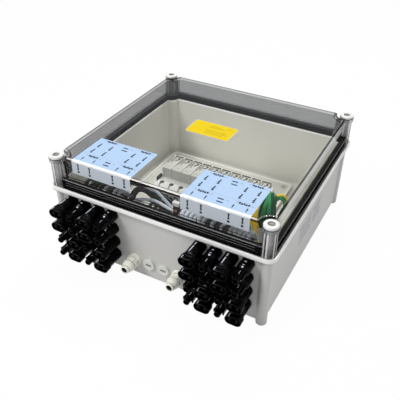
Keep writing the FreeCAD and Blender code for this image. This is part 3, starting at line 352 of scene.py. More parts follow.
def add_node(tree, kind, inputs, **settings):
    """A new node with its settings and its inputs."""
    node = tree.nodes.new(kind)
    for name, value in settings.items():
        setattr(node, name, value)
    set_inputs(tree, node, inputs)
    return node


def arithmetic(tree, operation, first, second):
    """Output of a sum on two values or outputs."""
    return add_node(tree, "ShaderNodeMath", {0: first, 1: second}, operation=operation).outputs["Value"]


def spread_over(tree, value, low, high):
    """Output that runs from the low to the high number as the value runs from 0 to 1."""
    inputs = {"Value": value, "To Min": low, "To Max": high}
    return add_node(tree, "ShaderNodeMapRange", inputs).outputs["Result"]


def mixed_colour(tree, share, low, high):
    """Output that runs from one colour to another as the share runs from 0 to 1."""
    inputs = {"Factor": share, "A": (*low, 1), "B": (*high, 1)}
    return add_node(tree, "ShaderNodeMix", inputs, data_type="RGBA").outputs["Result"]


def grain_group():
    """Moulded grain, built once: fine noise as a height, and slow noise as a mask for tone."""
    group = bpy.data.node_groups.get("Moulded grain")
    if group:
        return group
    group = bpy.data.node_groups.new("Moulded grain", "ShaderNodeTree")
    group.interface.new_socket(name="Vector", in_out="INPUT", socket_type="NodeSocketVector")
    for name, default in (("Fine", 900.0), ("Slow", 9.0)):
        socket = group.interface.new_socket(name=name, in_out="INPUT", socket_type="NodeSocketFloat")
        socket.default_value = default
    for name in ("Height", "Mask"):
        group.interface.new_socket(name=name, in_out="OUTPUT", socket_type="NodeSocketFloat")
    entry = group.nodes.new("NodeGroupInput").outputs
    noises = []
    for name, detail in (("Fine", 3.0), ("Slow", 4.0)):
        inputs = {"Vector": entry["Vector"], "Scale": entry[name], "Detail": detail}
        noises.append(add_node(group, "ShaderNodeTexNoise", inputs).outputs["Fac"])
    add_node(group, "NodeGroupOutput", {"Height": noises[0], "Mask": noises[1]})
    return group


def new_material(name, fine, slow):
    """A material's tree, its shader, and the moulded grain's outputs on object coordinates."""
    material = bpy.data.materials.new(name)
    material.use_nodes = True
    tree = material.node_tree
    place = tree.nodes.new("ShaderNodeTexCoord")
    inputs = {"Vector": place.outputs["Object"], "Fine": fine, "Slow": slow}
    grain = tree.nodes.new("ShaderNodeGroup")
    grain.node_tree = grain_group()
    set_inputs(tree, grain, inputs)
    return material, tree, tree.nodes["Principled BSDF"], grain.outputs


def finish(name, tone, roughness=0.5, metallic=0.0, bump=0.15, fine=900.0, slow=9.0, spread=0.06, gloss=0.5):
    """A plastic, metal or film: its colour and gloss vary slowly over the surface, and its height finely."""
    material, tree, shader, grain = new_material(name, fine, slow)
    darker = [max(0.0, part * (1 - spread)) for part in tone]
    paler = [min(1.0, part * (1 + spread)) for part in tone]
    relief = {"Strength": bump, "Distance": GRAIN_DEPTH, "Height": grain["Height"]}
    smooth = max(0.02, roughness - GLOSS_SPREAD)
    dull = min(1.0, roughness + GLOSS_SPREAD)
    set_inputs(tree, shader, {
        "Base Color": mixed_colour(tree, grain["Mask"], darker, paler),
        "Roughness": spread_over(tree, grain["Mask"], smooth, dull),
        "Normal": add_node(tree, "ShaderNodeBump", relief).outputs["Normal"],
        "Metallic": metallic,
        "Specular IOR Level": gloss,
    })
    return material


def clear_plastic(name, tone, thin, edge, blend=0.12, gloss=0.5):
    """Clear moulding: thin face on and denser at a glance, with faint smears; it casts no shadow."""
    material, tree, shader, grain = new_material(name, fine=260.0, slow=14.0)
    facing_side = add_node(tree, "ShaderNodeLayerWeight", {"Blend": blend}).outputs["Facing"]
    density = spread_over(tree, facing_side, thin, edge)
    smear = spread_over(tree, grain["Mask"], 0.92, 1.08)
    shadow = tree.nodes.new("ShaderNodeLightPath").outputs["Is Shadow Ray"]
    varied = arithmetic(tree, "MULTIPLY", density, smear)
    lit = arithmetic(tree, "SUBTRACT", 1.0, shadow)
    set_inputs(tree, shader, {
        "Base Color": (*tone, 1),
        "Specular IOR Level": gloss,
        "Roughness": spread_over(tree, grain["Mask"], 0.02, 0.11),
        "Alpha": arithmetic(tree, "MULTIPLY", varied, lit),
    })
    return material


def clear_finishes():
    """Finishes of the clear lid: a plain top, darker copies that paint shade on the far walls, bays and
    edges, and lighter copies that paint highlights, gleam and sheen.
    """
    return {
        "lid_top": clear_plastic("Lid top", (0.40, 0.41, 0.42), 0.010, 0.12),
        # Near and far walls, bays, far top and edges are darker copies of the clear plastic: painted shade.
        "lid_near": clear_plastic("Lid near walls", (0.16, 0.155, 0.145), 0.05, 0.28, gloss=0.15),
        "lid_far": clear_plastic("Lid far walls", (0.09, 0.095, 0.105), 0.50, 0.72, gloss=0.3),
        "lid_bay": clear_plastic("Lid corner bays", (0.09, 0.095, 0.10), 0.10, 0.85, blend=0.3),
        "lid_far_top": clear_plastic("Lid far top", (0.022, 0.023, 0.026), 0.72, 0.92, gloss=0.0),
        "lid_back_bay": clear_plastic("Lid back bays", (0.10, 0.105, 0.11), 0.42, 0.85, blend=0.25),
        "lid_edge": clear_plastic("Lid painted dark edges", (0.020, 0.011, 0.007), 0.66, 0.92, gloss=0.0),
        # Bright edges, gleam and sheen: painted highlights.
        "lid_glint": clear_plastic("Lid painted bright edges", (0.92, 0.91, 0.88), 0.60, 0.90),
        "lid_gleam": clear_plastic("Lid soft gleam", (0.62, 0.615, 0.60), 0.16, 0.42),
        "lid_sheen": clear_plastic("Lid pale sheen", (0.84, 0.86, 0.89), 0.46, 0.72, gloss=0.9),
        "lid_shoulder": clear_plastic("Lid shoulder", (0.08, 0.078, 0.07), 0.05, 0.28, gloss=0.0),
        "lid_skirt": clear_plastic("Lid skirt", (0.010, 0.008, 0.007), 0.10, 0.55, gloss=0.0),
        "tube": clear_plastic("Clear tubes", (0.13, 0.13, 0.135), 0.03, 0.86, blend=0.33),
        "tube_collar": clear_plastic("Clear collars", (0.28, 0.285, 0.29), 0.30, 0.85, blend=0.3),
    }


def moulded_finishes(tones):
    """Finishes of the base, plate, seal, screws, sockets, glands and plugs."""
    return {
        "base": finish("Base moulding", tones.base, 0.42, bump=0.12),
        # The base moulding painted lighter inside the box: painted light.
        "inside": finish("Base moulding inside painted lighter", tones.inside, 0.5, bump=0.12),
        # A lighter copy of the base moulding: painted highlight on the rim bead and lip.
        "rim": finish("Base rim crest highlight", tones.rim, 0.3, bump=0.06),
        "plate": finish("Mounting plate", tones.plate, 0.5, bump=0.1),
        "border": finish("Plate border highlight", tones.border, 0.4, bump=0.08),
        "seal": finish("Seal rubber", tones.seal, 0.6, bump=0.3, spread=0.2, gloss=0.0),
        # Lighter rubber on the front rib crests and top edge: painted highlights.
        "seal_line": finish("Seal rib highlights", (0.26, 0.26, 0.26), 0.5, bump=0.2, spread=0.2, gloss=0.1),
        "seal_strip": finish("Seal top highlight", (0.46, 0.465, 0.47), 0.5, bump=0.2, spread=0.1, gloss=0.1),
        "washer": finish("Washer rubber", (0.01, 0.01, 0.01), 0.4),
        "screw": finish("Lid screw", tones.screw, 0.32, bump=0.05),
        # Shank and recess are darker copies of the white screw: painted shade.
        "shank": finish("Lid screw shank shade", (0.60, 0.61, 0.60), 0.3, bump=0.05),
        "recess": finish("Screw recess shade", (0.30, 0.31, 0.28), 0.5, bump=0.05),
        "socket": finish("Socket black", tones.socket, 0.2, bump=0.03, spread=0.3, gloss=0.05),
        "socket_inside": finish("Socket inside", (0.001, 0.001, 0.001), 0.6, gloss=0.0),
        # Pale streaks and spots on the black sockets: painted highlights.
        "socket_highlight": finish("Socket painted highlight", (0.52, 0.56, 0.62), 0.25, bump=0.3,
                              fine=500.0, slow=160.0, spread=0.6),
        "gland": finish("Gland nylon", tones.gland, 0.35, bump=0.08),
        "crease_shade": finish("Gland crease shade", (0.40, 0.38, 0.28), 0.5, bump=0.08),
        "plug": finish("Plug nylon", tones.plug, 0.45, bump=0.08),
        # Near black: painted shade in the gland nose bore and the plug coin slot, and the dark body of the
        # lead connector.
        "dark": finish("Dark recess", (0.03, 0.03, 0.03), 0.7, gloss=0.2),
    }


def module_finishes(tones):
    """Finishes of the surge modules, the terminal strip, the metal parts and the wiring."""
    return {
        "steel": finish("Zinc plate", (0.55, 0.55, 0.53), 0.35, metallic=0.9, spread=0.15),
        "brass": finish("Brass", (0.70, 0.52, 0.22), 0.3, metallic=0.95, spread=0.12),
        "copper": finish("Copper", (0.65, 0.28, 0.16), 0.35, metallic=0.8),
        "module": finish("Module base", tones.module, 0.45, bump=0.08),
        "cartridge": finish("Cartridge", tones.cartridge, 0.42, bump=0.08),
        "cartridge_top": finish("Cartridge top", tones.cartridge_top, 0.42, bump=0.08),
        "bay": finish("Module bay", (0.10, 0.09, 0.065), 0.6, gloss=0.2),
        "slit": finish("Module slits", (0.035, 0.034, 0.03), 0.6, gloss=0.2),
        # Dark marks in wells, slots and holes: painted shade.
        "slot_shade": finish("Module slot shade", (0.11, 0.11, 0.10), 0.6, gloss=0.2),
        "pale_seam": finish("Module print", (0.40, 0.40, 0.36), 0.6, gloss=0.2),
        "hole": finish("Module screw hole shade", (0.05, 0.05, 0.045), 0.5, gloss=0.2),
        "terminal": finish("Terminal strip", (0.74, 0.74, 0.70), 0.4),
        "cable": finish("Dark grey cable", tones.cable, 0.34, spread=0.3, slow=25.0, gloss=0.15),
        "pale_cable": finish("Pale grey cable", tones.pale_cable, 0.38, spread=0.2, slow=25.0, gloss=0.3),
        "green": finish("Green sheath", (0.02, 0.30, 0.095), 0.3, spread=0.3, slow=30.0, gloss=0.3),
        "deep_green": finish("Deep green sheath", (0.005, 0.065, 0.022), 0.3, spread=0.5,
                             slow=30.0, gloss=0.1),
        "yellow_sheath": finish("Yellow sheath", (1.0, 0.62, 0.0), 0.35, spread=0.1, gloss=0.2),
    }


def label_finishes(tones):
    """Finishes of the label films and their generic print."""
    return {
        "label": finish("String label", tones.label, 0.45, bump=0.03, spread=0.02, gloss=0.2),
        "label_fold": finish("String label fold", tones.label_fold, 0.45, bump=0.03, spread=0.03, gloss=0.2),
        "label_bend_highlight": finish("String label bend highlight", (0.92, 0.94, 0.97), 0.4, bump=0.02, spread=0.02),
        "print": finish("Print", (0.012, 0.014, 0.022), 0.5, bump=0.0, gloss=0.1),
        "faint": finish("Faint print", (0.20, 0.24, 0.30), 0.5, bump=0.0, gloss=0.1),
        "pale_print": finish("Pale print", (0.38, 0.45, 0.55), 0.5, bump=0.0, gloss=0.1),
        "yellow": finish("Yellow label", tones.yellow, 0.5, bump=0.02, spread=0.02, gloss=0.1),
        "yellow_rule": finish("Yellow label rule", (0.40, 0.29, 0.01), 0.5, bump=0.0, gloss=0.1),
        "side_label": finish("Side label", (0.57, 0.572, 0.57), 0.4, bump=0.02, spread=0.05, slow=60.0),
        "side_rule": finish("Side label rule", (0.27, 0.30, 0.37), 0.5, bump=0.0, spread=0.3, slow=80.0),
    }


def make_materials(tones):
    """All finishes by name."""
    MATERIALS.update(moulded_finishes(tones))
    MATERIALS.update(clear_finishes())
    MATERIALS.update(module_finishes(tones))
    MATERIALS.update(label_finishes(tones))


def dress(node, finish_name):
    """Gives a solid that stays its finish."""
    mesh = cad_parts[node].data
    mesh.materials.clear()
    mesh.materials.append(MATERIALS[finish_name])


def settle(piece, body, slot, *nodes):
    """Puts a finished piece on its body and hides the solids that it stands for; the slot argument is not
    used.
    """
    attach(piece, body)
    if nodes:
        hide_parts(*nodes)


# Base

OUTER, INNER, CREST_HIGHLIGHT = range(3)


def base_rim(bead):
    """Half corners and heights of the rim: out under the bead, over it and down into the trough."""
    rim = [(round_half(9.5), 117.0), (round_half(11.5), 117.2), (round_half(12.6), 118.0),
           (round_half(13), 119.4), (round_half(13), 123.2)]
    for centre, angles in ((13 - bead, (25, 50, 75, 90)), (10 + bead, (90, 115, 140, 165))):
        for angle in angles:
            turn = math.radians(angle)
            rim.append((round_half(centre + bead * math.cos(turn)), RIM_TOP - bead + bead * math.sin(turn)))
    return rim + [(round_half(10), 121.4), (round_half(9.7), 121.0)]


def base_outside(shell, blend, bead):
    """Wall with its corner columns, rim and lip, from the lower edge up; bead and lip have the lighter crest
    slot, a painted highlight.
    """
    wall = [(column_half(reach, radius, blend), height) for reach, radius, height in (
        (3.2, 8, 6.0), (4, 8, 6.9), (4, 8, 60), (4, 8, 112), (4.4, 8.2, 115), (5.2, 8.8, 116.6))]
    rim = base_rim(bead)
    lip = [(notch_half(reach, radius, 1), height) for reach, radius, height in (
        (2.4, 11.6, 121.0), (2.1, 11.9, 121.3), (2.1, 11.9, 126.3),
        (1.6, 12.4, 127.0), (0.1, 13.9, 127.0), (-0.5, 14.5, 126.3))]
    profile = wall + rim + lip
    bead_start = len(wall) + 3
    lip_start = len(wall) + len(rim) + 2
    rows = [CREST_HIGHLIGHT if bead_start <= index < bead_start + 10 or index >= lip_start else OUTER
            for index in range(len(profile) - 1)]
    shell.grid(outlines(profile), slot=by_row(rows))


def base_inside(shell):
    """Inner wall from the lip down, and the round into the floor."""
    profile = [(notch_half(reach, radius, 1.5), height) for reach, radius, height in (
        (-0.5, 14.5, 126.3), (-0.5, 14.5, 124.4), (-0.5, 14.5, 60), (-0.6, 14.6, 17.5))]
    for angle in (20, 40, 60, 80, 90):
        turn = math.radians(angle)
        drop = 6 * (1 - math.cos(turn))
        profile.append((notch_half(-0.6 - drop, 14.6 + drop, 1.5), 17 - 6 * math.sin(turn)))
    rows = [CREST_HIGHLIGHT] + [INNER] * (len(profile) - 2)
    shell.grid(outlines(profile), slot=by_row(rows), cap_last=True, cap_slot=INNER)


def build_base(sizes):
    """Base: rings up the outside, over the rim and lip and down inside, with feet, posts and bosses."""
    shell = Shell()
    blend = sizes.column_blend / MM
    base_outside(shell, blend, sizes.bead / MM)
    base_inside(shell)
    bottom = outline(column_half(3.2, 8, blend), 6.0)
    shell.add(bottom[::-1], [tuple(range(len(bottom)))])
    foot = [(2.6, 8), (2.6, 0), (6.2, 0), (7.2, 0.4), (7.8, 1.2), (8, 2.4), (8, 9)]
    for x, y in SCREW_AXES.values():
        shell.grid(turned(foot, (x, y, 0)), cap_first=True)
    for y in (-89, -11):
        shell.block((EARTH_BAR_X - 6, y - 6, 10), (EARTH_BAR_X + 6, y + 6, 25), INNER)
    boss_y = PLATE_HALF_DEPTH - PLATE_SCREW_INSET
    for x in (PLATE_LEFT + PLATE_SCREW_INSET, PLATE_RIGHT - PLATE_SCREW_INSET):
        for y in (-boss_y, boss_y):
            shell.grid(turned([(5, 11), (5, 17)], (x, y, 0), sides=24), slot=INNER, cap_last=True)
    piece = shell.build("base_moulding", ("base", "inside", "rim"), sharp=38)
    settle(piece, "box", "box_plastic", "base_shell")


# Lid, seal and screws

LID_FINISHES = ("lid_top", "lid_near", "lid_far", "lid_bay", "lid_back_bay", "lid_edge", "lid_glint",
                "lid_shoulder", "lid_skirt", "lid_gleam", "lid_far_top", "lid_sheen")


def lid_profile():
    """Half corners and heights: from the inner top down inside, round the skirt's foot, up to the top."""
    inner = [(notch_half(-4.4, 21.4, 2), 168.5), (notch_half(-2.2, 19.2, 2), 168.2),
             (notch_half(-2, 19, 2), 166.6), (notch_half(-2, 19, 2), 138.6),
             (round_half(7), 138.5), (round_half(7), 121.7)]
    skirt = [(round_half(reach), height) for reach, height in (
        (7.3, 121.5), (9.1, 121.5), (9.5, 122.0), (9.5, 139.6), (9.2, 140.6), (8.6, 141.0))]
    outer = [(notch_half(reach, radius, 2), height) for reach, radius, height in (
        (2.2, 14.8, 141.0), (1.3, 15.7, 141.4), (1, 16, 142.4), (1, 16, 152.0), (1, 16, 168.0),
        (1, 16, 170.4), (0.7, 16.3, 171.3), (0, 17, 171.9), (-0.8, 17.8, LID_TOP),
        (-2.2, 19.2, LID_TOP), (-3.8, 20.8, LID_TOP))]
    return inner + skirt + outer


def lid_slots():
    """Slot table of the lid: a row for each pair of rings, with the walls and bays told apart, so that
    painted shade and painted highlights fall on the near and far walls, edges and bays.
    """
    top, near, far, bay, back_bay, edge, glint, shoulder, skirt, gleam, far_top, sheen = range(12)
    bays = (back_bay, back_bay, bay, bay)
    edges = (edge, edge, edge, edge)
    gleaming = (edge, edge, gleam, gleam)
    # These rows place the painted shade and painted highlights on each wall, bay and edge.
    walls = wall_slots(near, far, far, near, bays)
    upper = wall_slots(sheen, far, far, near, bays)
    crown = wall_slots(edge, far, far, edge, edges)
    line = wall_slots(edge, far_top, far_top, edge, edges)
    bend = wall_slots(edge, far_top, far_top, glint, gleaming)
    shine = wall_slots(gleam, far_top, far_top, glint, gleaming)
    inside = wall_slots(top, top, top, edge, edges)
    fillet = wall_slots(top, far, far, edge, edges)
    rows = [fillet, fillet, walls, shoulder] + [skirt] * 5
    rows += [gleam, gleam, shoulder, edge, edge, walls, upper, crown, line, bend, bend, shine, inside]
    return np.array([np.broadcast_to(row, len(walls)) for row in rows])


WEB_FOOT = 141.2
WEB_TOP = 163.0


def web(shell, centre, turn, slot):
    """Thin upright plate from a tube to the wall of its corner bay, at an angle about the screw axis."""
    angle = math.radians(turn)
    out = np.array([math.cos(angle), math.sin(angle)])
    side = np.array([-out[1], out[0]]) * 0.45
    ring = np.array([out * 9.3 - side, out * 16.2 - side, out * 16.2 + side, out * 9.3 + side])
    levels = [level(ring + np.array(centre), height) for height in (WEB_FOOT, WEB_TOP)]
    shell.grid(levels, slot=slot, cap_first=True, cap_last=True)


def build_tubes():
    """Four clear tubes about the lid screws, with collars, upright painted highlight and painted shade lines,
    and webs.
    """
    plain, rim, dark, bright = range(4)
    tubes = Shell()
    profile = [(5.35, 121.5), (9.5, 121.5), (9.5, 162.4), (10.0, 163.0), (10.7, 163.2), (11.0, 163.7),
               (11.0, 167.6), (10.6, 168.3), (5.35, 168.4), (5.35, 121.5)]
    table = np.full((9, 48), plain)
    table[2:8] = rim
    # Upright bright and dark columns on the collars: painted highlight and painted shade streaks.
    for column in (0, 7, 8, 11):
        table[1, column::12] = bright
    table[1, 10::12] = dark
    for x, y in SCREW_AXES.values():
        tubes.grid(turned(profile, (x, y, 0)), slot=table)
        inward = math.degrees(math.atan2(math.copysign(1, -y), math.copysign(1, -x)))
        # Webs at plus and minus 32 degrees take the dark slot: painted shade lines.
        for turn in (-58, -32, 0, 32, 58):
            web(tubes, (x, y), inward + turn, dark if turn in (-32, 32) else rim)
    piece = tubes.build("screw_tubes", ("tube", "tube_collar", "lid_edge", "lid_glint"), sharp=30)
    settle(piece, "lid", "clear_lid")


def build_lid():
    """Clear lid as one closed shell of rings round the box, and the screw tubes."""
    shell = Shell()
    shell.grid(outlines(lid_profile()), slot=lid_slots(), cap_first=True, cap_last=True, cap_slot=0)
    settle(shell.build("clear_lid", LID_FINISHES, sharp=30), "lid", "clear_lid", "lid_shell")
    build_tubes()


RUBBER, RIB_HIGHLIGHT, TOP_HIGHLIGHT = range(3)
RIBS_FROM = 138.4
RIBS_HEIGHT = 16.2
RIB_WAVE = 0.32
TOP_EDGE_FROM = 136.9
BRIGHT_RIBS = (133, 129)


def seal_slot(upper, lower):
    """Slot of the strip between two points of the seal's section along the front wall.

    The points are reach, radius and height; only the outer face, which reaches furthest, has painted
    highlights."""
    middle = (upper[2] + lower[2]) / 2
    if min(upper[0], lower[0]) <= 5:
        return RUBBER
    if middle > TOP_EDGE_FROM:
        return TOP_HIGHLIGHT
    if min(abs(middle - rib) for rib in BRIGHT_RIBS) < 0.5:
        return RIB_HIGHLIGHT
    return RUBBER


def build_seal(sizes):
    """Seal: rings down its ribbed outer face, under its leg, up over the lip and back along its top.

    Along the front two rib crests and the top edge have their own lighter slots: painted highlights where
    they catch more light."""
    shell = Shell()
    section = []
    steps = 6 * sizes.seal_ribs
    for index in range(steps + 1):
        height = RIBS_FROM - RIBS_HEIGHT * index / steps
        wave = RIB_WAVE * (1 - math.cos(2 * math.pi * sizes.seal_ribs * index / steps))
        section.append((6.7 - wave, 9.8 + wave, height))
    section += [(2.4, 11.6, 122.1), (2.4, 11.6, 127.05), (1.3, 12.7, 127.05),
                (1.3, 12.7, 138.45), (6.7, 9.8, 138.45)]
    rings = outlines([(notch_half(reach, radius, 1.0), height) for reach, radius, height in section])
    rows = [wall_slots(RUBBER, RUBBER, RUBBER, seal_slot(upper, lower), [RUBBER] * 4)
            for upper, lower in zip(section[:-1], section[1:])]
    shell.grid(rings[::-1], slot=np.array(rows[::-1]))
    piece = shell.build("seal_ring", ("seal", "seal_line", "seal_strip"), sharp=50)
    settle(piece, "lid", "seal", "lid_gasket")


def build_screws():
    """Lid screws: a lathe profile with a rounded head and a recess, a dark block across it, and the stem
    below; recess, block and stem carry painted shade.
    """
    profile = [(0.01, 171.3), (4.6, 171.3), (5.0, 171.6), (5.0, 172.7), (5.4, 173.2), (6.2, 173.3),
               (8.9, 173.2), (9.8, 172.7), (10.25, 171.8), (10.3, 169.6), (9.9, 169.25), (4.75, 169.2),
               (4.75, 122.0), (4.1, 121.4), (4.1, 88.5), (3.4, 87.5), (0.01, 87.5)]
    white, recess, slit, shank = range(4)
    rows = [shank] * 5 + [white] * 8 + [recess] * 3
    for name, (x, y) in SCREW_AXES.items():
        shell = Shell()
        shell.grid(turned(profile[::-1], (x, y, 0)), slot=by_row(rows))
        # Dark block across the recess: the painted shade of the slot.
        shell.block((x - 4.2, y - 0.8, 171.0), (x + 4.2, y + 0.8, 171.36), slit)
        piece = shell.build("screw_" + name, ("screw", "recess", "slot_shade", "shank"), sharp=40)
        settle(piece, "screw_" + name, "lid_screw", "lid_screw_" + name)
    washers = Shell()
    ring = [(5.4, 168.45), (10.7, 168.45), (11.0, 168.6), (11.0, 169.0), (10.7, 169.15), (5.4, 169.15),
            (5.4, 168.45)]
    for x, y in SCREW_AXES.values():
        washers.grid(turned(ring, (x, y, 0)))
    settle(washers.build("washers", ("washer",), sharp=40), "lid", "washer", "lid_screw_washers")


# Plate and modules

def rounded_rectangle(low, high, radius, height):
    """A closed ring with four quarter circles at its corners."""
    x0, y0 = low
    x1, y1 = high
    centres = ((x1 - radius, y0 + radius), (x1 - radius, y1 - radius),
               (x0 + radius, y1 - radius), (x0 + radius, y0 + radius))
    quarters = [arc(centre, radius, 90 * step - 90, 90 * step, 10) for step, centre in enumerate(centres)]
    return level(np.concatenate(quarters), height)


def build_plate():
    """Mounting plate: rings up its edge, over the raised border and down to the tray."""
    tray, border = range(2)
    shell = Shell()
    steps = ((0, 8, 17.0), (0, 8, 20.4), (0.6, 7.6, 21.0), (3.4, 6.6, 21.0), (4.0, 6.2, 20.5),
             (4.8, 5.6, 19.2), (6.0, 4.8, 19.0))
    rings = []
    for inset, radius, height in steps:
        low = (PLATE_LEFT + inset, inset - PLATE_HALF_DEPTH)
        high = (PLATE_RIGHT - inset, PLATE_HALF_DEPTH - inset)
        rings.append(rounded_rectangle(low, high, radius, height))
    # The raised border rows take the lighter finish: a painted highlight.
    rows = [tray, border, border, border, tray, tray]
    shell.grid(rings, slot=by_row(rows), cap_first=True, cap_last=True)
    settle(shell.build("plate_tray", ("plate", "border")), "box", "plate", "mounting_plate")
    for node in ("plate_screws", "rail_screws", "din_rail"):
        dress(node, "steel")


def build_module_bases():
    """Surge module bases: bevelled feet and towers with screw wells, a wire slot and a side opening, all
    painted dark as shade.
    """
    plain, slot_shade, screw_hole_shade, latch = range(4)
    bases = Shell()
    top = TOWER_TOP
    for index in range(MODULES):
        x0 = (index - 5) * MODULE_PITCH + 0.1
        x1 = x0 + 17.8
        mid = x0 + 8.9
        bases.block((x0, -33, 20.5), (x1, -0.4, top), plain)
        bases.block((x0, 45.4, 20.5), (x1, 57, top), plain)
        bases.block((x0, -0.4, 26.8), (x1, 45.4, 46), plain)
        well = [(4.0, top), (4.0, top + 0.06)]
        # Dark wells, screw holes, slots and dimples on each tower: painted shade.
        bases.grid(turned(well, (mid - 0.4, -15.5, 0), sides=24), slot=slot_shade, cap_last=True)
        head = [(3.1, top + 0.06), (2.9, top + 0.3), (0.01, top + 0.4)]
        bases.grid(turned(head, (mid - 0.1, -14.9, 0), sides=24), slot=screw_hole_shade)
        bases.block((mid - 2.0, -24.0, top), (mid + 0.4, -18.0, top + 0.07), slot_shade)
        bases.block((mid - 1.2, -27.5, top), (mid + 2.6, -25.2, top + 0.07), slot_shade)
        bases.block((mid - 3.6, -33.1, 50), (mid + 3.6, -32.9, 58), slot_shade)
        dimple = [(2.6, top + 0.05), (2.6, top + 0.06)]
        bases.grid(turned(dimple, (mid, 51, 0), sides=20), slot=slot_shade, cap_last=True)
    # The latch slot is a black block beside the module row: painted shade of the opening at the side.
    bases.block((-93.2, -13.5, top - 6.0), (-90.0, 0.0, top + 5.0), latch)
    piece = bases.build("module_bases", ("module", "slot_shade", "hole", "washer"), bevel=0.35)
    settle(piece, "box", "module_base", "surge_bases")


def cartridge_print(shell, x0, dark, pale):
    """Slits, a mark and faint lines on a cartridge top, and two seams down its front."""
    low_z = CARTRIDGE_TOP
    high_z = CARTRIDGE_TOP + PRINT_DEPTH
    slits = ((0.8, 2.0, 16.0, 38.5), (3.3, 4.5, 23.0, 38.5), (5.8, 7.0, 19.0, 38.5))
    mark = ((9.2, 14.8, 35.6, 37.6), (12.2, 15.2, 32.0, 35.6),
            (9.6, 13.6, 29.6, 32.0), (8.8, 11.2, 27.0, 29.6))
    for left, right, near, far in slits + mark:
        shell.block((x0 + left, near, low_z), (x0 + right, far, high_z), dark)
    for left, right, near in ((3.0, 10.0, 8.4), (3.0, 12.0, 5.6), (9.6, 15.0, 11.2)):
        shell.block((x0 + left, near, low_z), (x0 + right, near + 0.9, high_z), pale)
    for left in (5.6, 11.6):
        shell.block((x0 + left, -0.05, TOWER_TOP + 0.5), (x0 + left + 0.35, 0.0, 84.0), pale)


def build_cartridge(index):
    """A plug-in cartridge: its body, a top with a bay at the rear, print and two contact blades."""
    side, top, bay, ledge, dark, pale, blade = range(7)
    crest = CARTRIDGE_TOP - 1.0
    x0 = (index - 5) * MODULE_PITCH + 0.3
    x1 = x0 + 17.4
    shell = Shell()
    shell.block((x0, 0, 46.3), (x1, 45, crest), side)
    shell.block((x0 + 0.2, 0.2, crest), (x1 - 0.2, 39.0, CARTRIDGE_TOP), top)
    shell.block((x0 + 0.2, 44.2, crest), (x1 - 0.2, 44.9, CARTRIDGE_TOP), ledge)
    shell.block((x0 + 0.2, 39.0, crest), (x0 + 1.6, 44.2, CARTRIDGE_TOP), ledge)
    shell.block((x0 + 1.6, 39.0, crest), (x1 - 0.2, 44.2, crest + 0.06), bay)
    cartridge_print(shell, x0, dark, pale)
    for y in (8.5, 36.5):
        shell.block((x0 + 7.95, y - 3, 39.3), (x0 + 9.45, y + 3, 46.4), blade)
    number = "%02d" % (index + 1)
    finishes = ("cartridge", "cartridge_top", "bay", "module", "slit", "pale_seam", "steel")
    piece = shell.build("cartridge_" + number, finishes, bevel=0.2)
    settle(piece, "cartridge_" + number, "module_cartridge", "surge_cartridge_" + number)


def build_modules():
    """Surge modules, terminal strip and earth bar."""
    build_module_bases()
    for index in range(MODULES):
        build_cartridge(index)
    dress("terminal_strip", "terminal")
    dress("terminal_clamps", "copper")
    dress("earth_bar", "brass")
    dress("earth_screws", "steel")


# Sockets

BLACK, HOLLOW, PAINTED_HIGHLIGHT = range(3)
SOCKET_SIDES = 40
HIGHLIGHT_COLUMN = 17
WIDE_COLLAR = ((9.6, 0.0), (9.8, 0.4), (9.8, 3.6), (9.3, 4.0), (9.3, 5.0), (9.8, 5.4))
WIDE_GRIP = (6.4, 12, 14, 18, 21, 24.5)
WIDE_MOUTH = (24, 14.5)
WIDE_SWELL = ((0.0, 27.5), (0.35, 28.6), (0.75, 29.6), (1.0, 30.6))
WIDE_LIP = ((0.0, 33), (-0.3, 33.4), (-0.3, 34.2), (0.0, 34.6), (0.0, 40.3), (-0.5, 40.9), (-1.2, 41.0))
WIDE_HIGHLIGHTED = (6.4, 14, 18, 21, 24.5, 25.5, 34.6)
NARROW_PROFILE = ((9.3, 0), (9.5, 0.4), (9.5, 2.6), (9.5, 4.2), (9.5, 5.4), (9.5, 9), (9.5, 11), (9.5, 15),
                  (9.5, 16), (9.5, 17), (8.8, 18.6), (7.4, 20.4), (6.9, 21), (6.0, 21.2), (5.0, 22.0),
                  (4.7, 24), (4.7, 30), (5.2, 30.3), (5.2, 31.8), (4.7, 32.1), (4.6, 40.2), (4.2, 40.8),
                  (3.4, 41), (2.9, 40.8), (2.7, 40.2), (2.7, 29))


def oblong(width, height):
    """Points round an oblong with round ends, as X and Z, from the foot of its right end and going up."""
    half = (width - height) / 2
    count = SOCKET_SIDES // 2
    right = arc((half, 0), height / 2, -90, 90, count)
    left = arc((-half, 0), height / 2, 90, 270, count)
    return np.concatenate([right, left])


def circle(radius):
    """Points round a circle that match those of the oblong one for one."""
    return oblong(2 * radius, 2 * radius)


def facing(section, distance, place):
    """A section of X and Z points as a ring at a distance in front of a place on the wall."""
    ring = np.column_stack([section[:, 0], np.full(len(section), -float(distance)), section[:, 1]])
    return ring[::-1] + place


